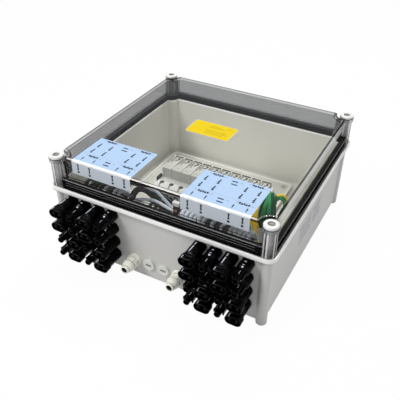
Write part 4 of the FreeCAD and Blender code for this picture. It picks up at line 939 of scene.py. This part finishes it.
def wide_socket(shell, place):
    """Round shell with grip ridges that swells into an oblong hollow mouth, with a painted highlight line
    along its top.

    Each ring is a circle, ridged circle, blend of circle and oblong, or oblong, at its distance."""
    angle = np.arctan2(circle(1.0)[:, 1], circle(1.0)[:, 0])
    ridge = 9.35 + 0.45 * (np.cos(10 * angle) > 0.2)
    wide, high = WIDE_MOUTH
    rings = [(circle(radius), distance) for radius, distance in WIDE_COLLAR]
    rings += [(circle(1.0) * ridge[:, None], distance) for distance in WIDE_GRIP]
    rings.append((circle(9.8), 25.5))
    rings += [(circle(9.8) * (1 - share) + oblong(wide, high) * share, distance)
              for share, distance in WIDE_SWELL]
    rings += [(oblong(wide + 2 * grow, high + 2 * grow), distance) for grow, distance in WIDE_LIP]
    table = np.full((len(rings) - 1, SOCKET_SIDES), BLACK)
    # A column of pale faces along the top of each wide barrel: a painted highlight streak.
    table[[distance in WIDE_HIGHLIGHTED for section, distance in rings[:-1]], HIGHLIGHT_COLUMN] = PAINTED_HIGHLIGHT
    shell.grid([facing(section, distance, place) for section, distance in rings], slot=table)
    hollow = ((21.6, 12.1, 41.0), (20.8, 11.3, 40.6), (20.6, 11.1, 30.2))
    throat = [facing(oblong(width, height), distance, place) for width, height, distance in hollow]
    shell.grid(throat, slot=HOLLOW, cap_last=True)
    pin = [(2.6, 30.0), (2.6, 38.8), (2.2, 39.4), (0.01, 39.5)]
    for side in (-5.2, 5.2):
        shell.grid(turned_out(pin, place + np.array([side, 0, 0]), sides=16))


def socket_grip(angle, distance):
    """Shallow grip ribs on the cap of a narrow socket between its two plain bands."""
    return 1.0 - (0.035 * (np.cos(16 * angle) < 0) if 5 < distance < 15.5 else 0.0)


def narrow_socket(shell, place):
    """Ribbed cap with a tapered shoulder, an open tube, a latch finger on each side and pale painted
    highlight spots.
    """
    rings = turned_out(NARROW_PROFILE, place, sides=SOCKET_SIDES, flute=socket_grip)
    table = np.full((len(rings) - 4, SOCKET_SIDES), BLACK)
    # Pale spots on each narrow cap: painted highlights.
    table[[2, 5, 8, 10], 28:30] = PAINTED_HIGHLIGHT
    table[15, 28] = PAINTED_HIGHLIGHT
    shell.grid(rings[:-3], slot=table)
    shell.grid(rings[-3:], slot=HOLLOW, cap_last=True)
    for low, high, wide_low, wide_high in ((-7.2, -5.4, -7.7, -5.4), (5.4, 7.2, 5.4, 7.7)):
        shell.block(place + np.array([low, -33.6, -2.5]), place + np.array([high, -20.5, 2.5]))
        shell.block(place + np.array([wide_low, -34.6, -2.5]), place + np.array([wide_high, -32.4, 2.5]))


def socket_place(side, row, column):
    """Sideways place and height of a socket: side -1 is the left group, and row 0 is the top row."""
    return side * SOCKET_GROUP_X + (column - 1.5) * SOCKET_PITCH, LOWEST_SOCKET + (3 - row) * SOCKET_ROW_PITCH


def build_sockets():
    """Thirty-two panel sockets, a piece for each row of each group, and their nuts inside the wall."""
    for group, side in (("left", -1), ("right", 1)):
        for row in range(4):
            shell = Shell()
            for column in range(4):
                x, height = socket_place(side, row, column)
                place = np.array([x, FRONT_FACE, height])
                wide = (column % 2 == 0) == (row < 2)
                make_socket = wide_socket if wide else narrow_socket
                make_socket(shell, place)
                nut = turned([(8, 0), (8, -7)], (x, NUT_SEAT, height), axis="y", sides=6)
                shell.grid(nut, cap_last=True)
            name = "sockets_%s_%d" % (group, row + 1)
            piece = shell.build(name, ("socket", "socket_inside", "socket_highlight"), sharp=32)
            settle(piece, "box", "socket_black", "sockets_%s_row_%d" % (group, row + 1))


# Glands and plugs

CAP_PROFILE = ((8.4, 6.5), (9.2, 6.5), (9.6, 7.0), (9.6, 7.6), (9.6, 15.0), (9.6, 16.2), (9.5, 18.0),
               (9.2, 19.6), (8.6, 21.4), (7.8, 23.2), (7.0, 24.8), (6.6, 25.6), (6.6, 27.4), (6.3, 28.4),
               (5.6, 28.8), (4.6, 28.6), (4.0, 28.0), (4.0, 18.5))


def hexagon(angle, distance):
    """Radius of a hexagon over that of the circle about it, the same at every distance."""
    return math.cos(math.pi / 6) / np.cos((angle + math.pi / 6) % (math.pi / 3) - math.pi / 6)


def cap_grip(angle, distance):
    """Eight grip flats on the skirt of the cap nut."""
    return 1.0 - (0.07 * (np.cos(8 * angle) > 0.55) if 7.4 < distance < 15.5 else 0.0)


def build_glands():
    """Two glands: washer, hexagon and threaded neck in one piece, and a cap nut with a domed nose each."""
    plain, dark, crease_shade = range(3)
    groove = 1
    bodies = Shell()
    for side, x in (("left", -37.5), ("right", 37.5)):
        place = np.array([x, FRONT_FACE, ENTRY_HEIGHT])
        bodies.grid(turned_out([(10.4, 0), (10.4, 1.2), (9.0, 1.4)], place))
        bodies.grid(turned_out([(10.6, 1.2), (10.6, 5.4)], place, sides=72, flute=hexagon))
        neck = [(10.2, 5.4), (9.6, 6.0), (8.0, 6.0), (8.0, 16.5), (4.0, 16.6), (4.0, 1.0)]
        # The groove rows of the neck take the darker finish: painted shade.
        bodies.grid(turned_out(neck, place, sides=72), slot=by_row([plain, groove, groove, plain, plain]))
        cap = Shell()
        rings = turned_out(CAP_PROFILE, place, sides=64, flute=cap_grip)
        rows = np.full(len(rings) - 3, plain)
        # Darker rows at the cap's grooves and joints: painted shade.
        rows[[0, 1, 4, 10]] = crease_shade
        cap.grid(rings[:-2], slot=by_row(rows))
        # Dark bore of the nose: painted shade.
        cap.grid(rings[-2:], slot=dark, cap_last=True)
        piece = cap.build("cap_nut_" + side, ("gland", "dark", "crease_shade"), sharp=30)
        settle(piece, "cap_nut_" + side, "gland_plastic", "gland_cap_nut_" + side)
    piece = bodies.build("gland_bodies_smooth", ("gland", "crease_shade"))
    settle(piece, "box", "gland_plastic", "gland_bodies")


def build_entries():
    """Glands, and plugs with a coin slot."""
    build_glands()
    dark = 1
    plugs = Shell()
    profile = [(9.2, 0), (9.2, 2.4), (8.9, 3.2), (8.2, 3.5), (7.0, 3.5), (6.7, 3.2), (6.4, 3.1), (0.01, 3.1)]
    for x in (-12.5, 12.5):
        place = np.array([x, FRONT_FACE, ENTRY_HEIGHT])
        plugs.grid(turned_out(profile, place))
        # Dark bars of the coin slot: painted shade.
        for line in (-0.9, 0.9):
            low = place + np.array([-4.6, -3.3, line - 0.45])
            high = place + np.array([4.6, -3.05, line + 0.45])
            plugs.block(low, high, dark)
    settle(plugs.build("plugs", ("plug", "dark"), sharp=40), "box", "plug_plastic", "blanking_plugs")
    dress("entry_lock_nuts", "plug")


# Labels

def film_section(front, rear, top, drop, thickness):
    """Closed section of a folded film as Y and Z: up the front, round the bend, along the top and back."""
    bend = 3.0
    faces = []
    for depth in (0.0, thickness):
        rise = arc((front + bend, top - bend), bend - depth, 180, 90, 10)
        back = [[front + bend + 1.6, top - depth], [rear, top - depth]]
        faces.append(np.concatenate([[[front + depth, top - drop]], rise, back]))
    return np.concatenate([faces[0], faces[1][::-1]])


def label_marks(shell, x0, rear):
    """Generic print of a string label: header bars, columns of dashes, middle bars and thin rules."""
    ink, faint, pale = 3, 4, 5

    def mark(share, y, wide, long, slot):
        """A rectangle centred at a share of the width and a depth."""
        x = x0 + share * LABEL_WIDTH
        low = (x - wide / 2, y - long / 2, LABEL_TOP)
        shell.block(low, (x + wide / 2, y + long / 2, LABEL_TOP + PRINT_DEPTH), slot)

    fold_marks = ((166.2, 168.4, 1.5, ink), (163.0, 166.0, 1.0, ink), (159.6, 162.6, 1.3, ink),
                  (158.0, 159.4, 0.8, faint), (154.3, 157.2, 1.8, ink))
    for header in (rear - 4.0, -141.0):
        for share in (0.225, 0.82):
            for step in range(5):
                mark(share + 0.032 * (step - 2), header - (0.8 if step % 2 else 0.0), 2.5, 3.8, ink)
            mark(share - 0.10, header + 0.4, 6.0, 0.7, faint)
            mark(share + 0.11, header - 0.8, 6.0, 0.7, faint)
    for share in (0.11, 0.31, 0.705, 0.90):
        for y in (-110.5, -127.3):
            mark(share, y + 2.2, 1.9, 6.6, ink)
            mark(share - 0.006, y - 1.2, 2.8, 2.4, ink)
            mark(share, y - 4.4, 3.2, 2.8, ink)
        mark(share, -150.5, 1.7, 5.8, ink)
        mark(share, -154.8, 2.0, 1.8, faint)
        x = x0 + share * LABEL_WIDTH
        for low, high, half, slot in fold_marks:
            shell.block((x - half, LABEL_FRONT - PRINT_DEPTH, low), (x + half, LABEL_FRONT, high), slot)
    for y in (rear - 8.0, -144.6):
        mark(0.50, y, 8.6, 2.2, ink)
        mark(0.60, y + 0.3, 4.0, 0.8, faint)
        mark(0.515, y - 6.8, 9.0, 2.2, ink)
    mark(0.5, -137.2, LABEL_WIDTH, 0.5, pale)


def build_string_labels():
    """String labels: a film folded over the lid edge, with generic marks as thin raised print."""
    top, fold, bend = range(3)
    finishes = ("label", "label_fold", "label_bend_highlight", "print", "faint", "pale_print")
    for side, x0, rear in (("left", -137.0, -91.5), ("right", 39.0, -92.9)):
        shell = Shell()
        section = film_section(LABEL_FRONT, rear, LABEL_TOP, 21.5, 0.25)
        rings = [np.column_stack([np.full(len(section), x), section]) for x in (x0 + LABEL_WIDTH, x0)]
        # White columns round the bend of the film: a painted highlight.
        columns = [fold] * 3 + [bend] * 8 + [top] + [fold] * 14
        shell.grid(rings, slot=columns, cap_first=True, cap_last=True, cap_slot=fold)
        label_marks(shell, x0, rear)
        piece = shell.build("string_label_film_" + side, finishes, sharp=50)
        settle(piece, "lid", "white_label", "string_label_" + side)


def build_yellow_label():
    """Yellow label on the lid: a pale film, the yellow film on it and plain ruled lines."""
    film, rule, edge = range(3)
    shell = Shell()
    x0, x1 = -40.5, 32.5
    y0, y1 = -10.0, 32.0
    pale_top, film_top, print_top = (LID_TOP + rise for rise in (0.34, 0.37, 0.4))
    layers = ((0, 4, LID_TOP + 0.02, pale_top, edge), (0.8, 3.4, pale_top, film_top, film))
    for inset, radius, low, high, slot in layers:
        rings = [rounded_rectangle((x0 + inset, y0 + inset), (x1 - inset, y1 - inset), radius, height)
                 for height in (low, high)]
        shell.grid(rings, slot=slot, cap_last=True)
    rules = ((-10, 8, 21.5), (-12, 14, 17.5), (-12, 22, 7.5), (-12, 24, 3.0), (-12, 18, -1.5), (16, 25, 23.5))
    for left, right, y in rules:
        shell.block((left, y, film_top), (right, y + 1.1, print_top), rule)
    piece = shell.build("yellow_film", ("yellow", "yellow_rule", "side_label"), sharp=50)
    settle(piece, "lid", "yellow_label", "yellow_label")


def side_marks(shell, rule):
    """Rows of short faint bars on the side label, with seeded lengths and gaps."""
    rng = np.random.default_rng(5)
    for row in range(7):
        z = 48.5 + row * 4.1
        y = -35.0 + rng.uniform(0, 5)
        while y < 52:
            reach = rng.uniform(2.0, 6.5)
            shell.block((169.36, y, z), (169.4, y + reach, z + 2.2), rule)
            y += reach + rng.uniform(1.2, 3.0) + (8.0 if abs(y - 6) < 4 else 0.0)


def build_flat_labels():
    """Yellow label on the lid and pale label on the side wall, each with generic ruled lines."""
    build_yellow_label()
    film, rule = range(2)
    shell = Shell()
    shell.block((169.02, -38, 46), (169.36, 60, 78), film)
    side_marks(shell, rule)
    settle(shell.build("side_film", ("side_label", "side_rule"), sharp=50), "box", "side_label", "side_label")


# Cables

ARCHES = (((-68, 106), (-46, 132), (0, 108), -128, "cable"),
          ((-62, 106), (-43, 128.5), (-4, 106), -128, "cable"),
          ((-58, 120), (-27, 134), (12, 109), -126, "pale_cable"),
          ((-54, 122), (-35, 132), (4, 106), -127, "cable"),
          ((-58, 104), (-24, 122.5), (19, 113), -134, "pale_cable"),
          ((-58, 102), (-35, 118), (1, 110), -132, "cable"),
          ((-90, 122), (-50, 130.5), (-8, 124), -121, "cable"),
          ((-90, 127), (-54, 135), (-14, 128), -120, "cable"))


def cable(name, route, radius, finish_name):
    """A smooth cable: one spline whose control points are the route's points, in millimetres."""
    curve = bpy.data.curves.new(name, "CURVE")
    curve.dimensions = "3D"
    curve.bevel_depth = radius * MM
    curve.bevel_resolution = 4
    curve.use_fill_caps = True
    spline = curve.splines.new("NURBS")
    spline.points.add(len(route) - 1)
    for point, (x, y, z) in zip(spline.points, route):
        point.co = (x * MM, y * MM, z * MM, 1)
    spline.order_u = 3
    spline.use_endpoint_u = True
    spline.resolution_u = 8
    curve.materials.append(MATERIALS[finish_name])
    return put(name, curve)


def joined(name, cables):
    """Turns cables into one mesh piece with a slot for each finish."""
    graph = bpy.context.evaluated_depsgraph_get()
    points = []
    faces = []
    slots = []
    materials = []
    count = 0
    for part in cables:
        mesh = bpy.data.meshes.new_from_object(part.evaluated_get(graph))
        bpy.data.objects.remove(part)
        places = np.zeros(len(mesh.vertices) * 3)
        mesh.vertices.foreach_get("co", places)
        points.append(places.reshape(-1, 3))
        material = mesh.materials[0]
        if material not in materials:
            materials.append(material)
        faces.extend([tuple(i + count for i in face.vertices) for face in mesh.polygons])
        slots.extend([materials.index(material)] * len(mesh.polygons))
        count += len(mesh.vertices)
    return new_piece(name, np.concatenate(points), faces, slots, materials)


def terminal_end(target):
    """Last part of a string cable: low over the plate and up into its terminal."""
    return [(target, -60, 38), (target, -42, 40), (target, -36, 52), (target, -33, 54)]


def arch_route(x, z, target, arch):
    """Route of a cable that arches over the gap between the string labels."""
    (x0, z0), (x1, z1), (x2, z2), depth = arch[:4]
    start = [(x, -154.5, z), (x, -148, z + 6), (x0 - 12, -140, z0 - 14)]
    rise = [(x0 - 2, depth, z0 - 4), (x0 + 4, depth, z0 + 10), (x1 - 8, depth, z1), (x1 + 5, depth, z1 + 3)]
    fall = [(x1 + 0.55 * (x2 - x1), depth, z1 + 0.55 * (z2 - z1) + 3), (x2, depth, z2),
            (x2 + 8, depth + 8, z2 - 14), (0.5 * (x2 + target), -88, 60)]
    return start + rise + fall + terminal_end(target)


def lane_route(x, z, lane_x, target, lift):
    """Route of a cable that bends back over the wall into its lane and dives to its terminal."""
    start = [(x, -154.5, z), (x, -149, z + 6), (0.5 * (x + lane_x), -147, max(z + 10, 106))]
    crest = [(lane_x, -143, 120 + lift), (lane_x + 1, -130, 123 + lift)]
    fall = [(lane_x + 3, -114, 100), (0.5 * (lane_x + target), -88, 60)]
    return start + crest + fall + terminal_end(target)


def string_cable(side, row, column, rng, radius):
    """One string cable: the upper left rows arch over, the others run in lanes, dark or pale by chance."""
    x, z = socket_place(side, row, column)
    lift = rng.uniform(-1.5, 2.0)
    pick = rng.random()
    if side < 0 and row < 2:
        number = row * 4 + column
        route = arch_route(x, z, 6 + 5.4 * number, ARCHES[number])
        return cable("string_cable", route, radius * 0.85, ARCHES[number][-1])
    if side < 0:
        lane = column * 2 + (row - 2)
        route = lane_route(x, z, -134 + 8.2 * lane, -84 + 10 * lane, lift)
        pale_share = 0.45
        grow = 1.1
    else:
        lane = column * 4 + 3 - row
        route = lane_route(x, z, 27 + 6.7 * lane, -8 + 6.2 * lane, lift)
        pale_share = 0.9 if lane < 6 or lane > 13 else 0.4
        grow = 1.15
    return cable("string_cable", route, radius * grow, "pale_cable" if pick < pale_share else "cable")


def build_string_cables(sizes):
    """Thirty-two string cables, dark and pale, and the small connector where the arch ends."""
    rng = np.random.default_rng(7)
    cables = []
    for side in (-1, 1):
        for row in range(4):
            for column in range(4):
                cables.append(string_cable(side, row, column, rng, sizes.cable_radius / MM))
    settle(joined("string_cables", cables), "box", "string_cable", "string_wires")
    pale, dark, metal = range(3)
    shell = Shell()
    shell.block((11, -137, 129), (21, -131, 134.5), pale)
    shell.block((12, -136.5, 112), (18.5, -131.5, 129), dark)
    shell.block((14, -136.8, 119), (18, -136.5, 123), metal)
    piece = shell.build("lead_connector", ("terminal", "dark", "copper"), bevel=0.4)
    settle(piece, "box", "terminal_plastic")


def green_wire(index, rng):
    """One strand of the green fan: up from the earth bar, over a crown and back to the modules."""
    share = index / 14
    spread = 105 + 25 * share
    y = -86 + 70 * ((index * 4) % 15) / 14
    lean = rng.uniform(-2.5, 2.5, 4)
    crown = 107 + 14 * share
    end = 86 - 2.0 * index
    rise = [(EARTH_BAR_X, y, EARTH_BAR_TOP), (EARTH_BAR_X + lean[0] * 0.5, y * 0.9 - 4, 52),
            (spread + 1, -50 + lean[1], 72 + 3 * (index % 3)), (spread, -43 + lean[2], 94)]
    bend = [(crown, -26 + lean[3], 116 - 9 * abs(share - 0.7)), (crown - 4, -14, 108 + lean[0])]
    fall = [(crown - 8, 0, 82), (crown - 14, 30, 58), (end, 68, 56), (end, 57, 54)]
    tone = ("green", "deep_green", "green", "green", "deep_green")[index % 5]
    return cable("earth_wire", rise + bend + fall, 1.9, tone)


def yellow_wire(index, rng):
    """One of the yellow wires beside the fan."""
    y = -72 + 12 * index
    lean = rng.uniform(-2, 2, 3)
    rise = [(EARTH_BAR_X, y, EARTH_BAR_TOP), (120, y - 4, 50),
            (116 - 3 * index, -72 + lean[0], 76 + 3 * index)]
    bend = [(106 - 2 * index, -64 + lean[1], 96), (104 - 2 * index, -48 + lean[2], 105)]
    fall = [(94, -8, 88), (84 - 9 * index, 60, 56), (80 - 9 * index, 57, 54)]
    return cable("earth_wire", rise + bend + fall, 2.3, "yellow_sheath")


def looped_wire(index, tone):
    """One wire of the loop on the right of the fan, smaller for each one further in."""
    grow = 1.0 - 0.14 * index
    route = [(EARTH_BAR_X, -30 + 6 * index, EARTH_BAR_TOP), (130, -34, 62)]
    for turn in (-70, -20, 30, 80, 125, 165):
        angle = math.radians(turn)
        reach = 11.0 * grow * math.cos(angle)
        route.append((126 + 0.88 * reach, -13 + 0.47 * reach - 2 * index, 93 + 17 * grow * math.sin(angle)))
    route += [(112, -24, 84), (100, -10, 74), (58 - 9 * index, 62, 56), (54 - 9 * index, 57, 54)]
    return cable("earth_wire", route, 1.9, tone)


def build_earth_wires():
    """Earth wires: a fan of green strands up from the bar, yellow ones beside it, and a loop on its right."""
    rng = np.random.default_rng(11)
    cables = [green_wire(index, rng) for index in range(15)]
    cables += [yellow_wire(index, rng) for index in range(5)]
    cables += [looped_wire(index, tone) for index, tone in enumerate(("yellow_sheath", "green", "green"))]
    settle(joined("earth_wires_loom", cables), "box", "earth_cable", "earth_wires")


# Stage

CAMERA_PLACE = (0.3297, -0.6620, 0.5834)
CAMERA_FORWARD = (-0.376, 0.717, -0.587)
CAMERA_RIGHT = (0.882, 0.471, 0.010)
CAMERA_LENS = 49.64
LAMP_AIM = Vector((0, 0, 0.08))
LAMPS = (("key", (-0.9, -1.3, 1.6), 0.6, 19.0), ("fill", (1.6, -0.7, 1.0), 1.2, 1.5),
         ("top", (0.1, 0.4, 1.9), 1.0, 6.0), ("rear", (-0.1, 0.75, 1.25), 0.18, 7.0),
         ("spark", (-0.5, -1.0, 1.5), 0.07, 2.0))


def seen_directly(tree):
    """Output that is 1 for camera, glossy and transmission rays and 0 for the rest."""
    path = tree.nodes.new("ShaderNodeLightPath").outputs
    seen = arithmetic(tree, "MAXIMUM", path["Is Camera Ray"], path["Is Glossy Ray"])
    return arithmetic(tree, "MAXIMUM", seen, path["Is Transmission Ray"])


def place_camera():
    """Camera at the photograph's angle."""
    camera_data = bpy.data.cameras.new("camera")
    camera_data.sensor_width = 36
    camera_data.lens = CAMERA_LENS
    camera_data.clip_end = 20
    camera = put("camera", camera_data)
    forward = Vector(CAMERA_FORWARD).normalized()
    right = Vector(CAMERA_RIGHT)
    right = (right - forward * right.dot(forward)).normalized()
    up = right.cross(forward)
    turn = Matrix((right, up, -forward)).transposed()
    camera.matrix_world = Matrix.Translation(CAMERA_PLACE) @ turn.to_4x4()
    bpy.context.scene.camera = camera


def lay_floor():
    """Pale floor that keeps the shadow and looks almost white to the camera."""
    floor = bpy.data.meshes.new("floor")
    floor.from_pydata([(-6, -6, 0), (6, -6, 0), (6, 6, 0), (-6, 6, 0)], [], [(0, 1, 2, 3)])
    ground = put("floor", floor)
    material = bpy.data.materials.new("Floor")
    material.use_nodes = True
    tree = material.node_tree
    shader = tree.nodes["Principled BSDF"]
    dull = {"Base Color": (0.80, 0.80, 0.80, 1), "Roughness": 0.9, "Specular IOR Level": 0.0}
    set_inputs(tree, shader, dull)
    glow = add_node(tree, "ShaderNodeEmission", {"Color": (1, 1, 1, 1)})
    share = arithmetic(tree, "MULTIPLY", seen_directly(tree), 0.97)
    inputs = {0: share, 1: shader.outputs["BSDF"], 2: glow.outputs["Emission"]}
    mix = add_node(tree, "ShaderNodeMixShader", inputs)
    tree.links.new(mix.outputs["Shader"], tree.nodes["Material Output"].inputs["Surface"])
    floor.materials.append(material)


def light_up():
    """Grey world that looks white where it is seen directly, and soft lamps aimed at the box."""
    scene = bpy.context.scene
    world = scene.world or bpy.data.worlds.new("world")
    scene.world = world
    world.use_nodes = True
    tree = world.node_tree
    tone = mixed_colour(tree, seen_directly(tree), (0.37, 0.37, 0.38), (1, 1, 1))
    tree.links.new(tone, tree.nodes["Background"].inputs["Color"])
    for name, place, size, power in LAMPS:
        lamp_data = bpy.data.lights.new(name, "AREA")
        lamp_data.energy = power
        lamp_data.size = size
        lamp = put(name, lamp_data)
        lamp.location = place
        lamp.rotation_euler = (LAMP_AIM - Vector(place)).to_track_quat("-Z", "Y").to_euler()


def build_stage():
    """Camera at the photograph's angle, a pale floor that keeps the shadow, and soft lamps."""
    bpy.context.scene.view_settings.view_transform = "Standard"
    place_camera()
    lay_floor()
    light_up()


# Operators

class BOX_OT_stage(bpy.types.Operator):
    """Camera, floor and lamps"""
    bl_idname = "box.stage"
    bl_label = "Stage"

    def execute(self, context):
        build_stage()
        return {"FINISHED"}


class BOX_OT_finishes(bpy.types.Operator):
    """Materials of every piece"""
    bl_idname = "box.finishes"
    bl_label = "Finishes"

    def execute(self, context):
        make_materials(context.scene.box_colours)
        return {"FINISHED"}


class BOX_OT_base(bpy.types.Operator):
    """Moulded base"""
    bl_idname = "box.base"
    bl_label = "Base"

    def execute(self, context):
        build_base(context.scene.box_sizes)
        return {"FINISHED"}


class BOX_OT_lid(bpy.types.Operator):
    """Clear lid and its screw tubes"""
    bl_idname = "box.lid"
    bl_label = "Lid"

    def execute(self, context):
        build_lid()
        return {"FINISHED"}


class BOX_OT_seal(bpy.types.Operator):
    """Seal of the lid"""
    bl_idname = "box.seal"
    bl_label = "Seal"

    def execute(self, context):
        build_seal(context.scene.box_sizes)
        return {"FINISHED"}


class BOX_OT_screws(bpy.types.Operator):
    """Lid screws and their washers"""
    bl_idname = "box.screws"
    bl_label = "Screws"

    def execute(self, context):
        build_screws()
        return {"FINISHED"}


class BOX_OT_plate(bpy.types.Operator):
    """Mounting plate, rail and their screws"""
    bl_idname = "box.plate"
    bl_label = "Plate"

    def execute(self, context):
        build_plate()
        return {"FINISHED"}


class BOX_OT_modules(bpy.types.Operator):
    """Surge modules, terminal strip and earth bar"""
    bl_idname = "box.modules"
    bl_label = "Modules"

    def execute(self, context):
        build_modules()
        return {"FINISHED"}


class BOX_OT_sockets(bpy.types.Operator):
    """Panel sockets"""
    bl_idname = "box.sockets"
    bl_label = "Sockets"

    def execute(self, context):
        build_sockets()
        return {"FINISHED"}


class BOX_OT_entries(bpy.types.Operator):
    """Glands and plugs"""
    bl_idname = "box.entries"
    bl_label = "Entries"

    def execute(self, context):
        build_entries()
        return {"FINISHED"}


class BOX_OT_string_labels(bpy.types.Operator):
    """Labels folded over the lid edge"""
    bl_idname = "box.string_labels"
    bl_label = "String labels"

    def execute(self, context):
        build_string_labels()
        return {"FINISHED"}


class BOX_OT_flat_labels(bpy.types.Operator):
    """Yellow label and side label"""
    bl_idname = "box.flat_labels"
    bl_label = "Flat labels"

    def execute(self, context):
        build_flat_labels()
        return {"FINISHED"}


class BOX_OT_cables(bpy.types.Operator):
    """String cables and earth wires"""
    bl_idname = "box.cables"
    bl_label = "Cables"

    def execute(self, context):
        build_string_cables(context.scene.box_sizes)
        build_earth_wires()
        return {"FINISHED"}


OPERATORS = [BOX_OT_stage, BOX_OT_finishes, BOX_OT_base, BOX_OT_lid, BOX_OT_seal, BOX_OT_screws,
             BOX_OT_plate, BOX_OT_modules, BOX_OT_sockets, BOX_OT_entries, BOX_OT_string_labels,
             BOX_OT_flat_labels, BOX_OT_cables]


class BOX_PT_panel(bpy.types.Panel):
    """Lists the build steps in the sidebar."""
    bl_label = "Combiner box"
    bl_idname = "BOX_PT_panel"
    bl_space_type = "VIEW_3D"
    bl_region_type = "UI"
    bl_category = "Box"

    def draw(self, context):
        for step in OPERATORS:
            self.layout.operator(step.bl_idname)


CLASSES = [BoxColours, BoxSizes] + OPERATORS + [BOX_PT_panel]


def register():
    """Registers the classes and hangs the settings on the scene."""
    for item in CLASSES:
        bpy.utils.register_class(item)
    bpy.types.Scene.box_colours = PointerProperty(type=BoxColours)
    bpy.types.Scene.box_sizes = PointerProperty(type=BoxSizes)


def unregister():
    """Takes the settings and classes away again."""
    del bpy.types.Scene.box_sizes
    del bpy.types.Scene.box_colours
    for item in reversed(CLASSES):
        bpy.utils.unregister_class(item)


def main():
    """Runs every step in order."""
    register()
    for step in OPERATORS:
        getattr(bpy.ops.box, step.bl_idname.split(".")[1])()


if __name__ == "__main__":
    main()
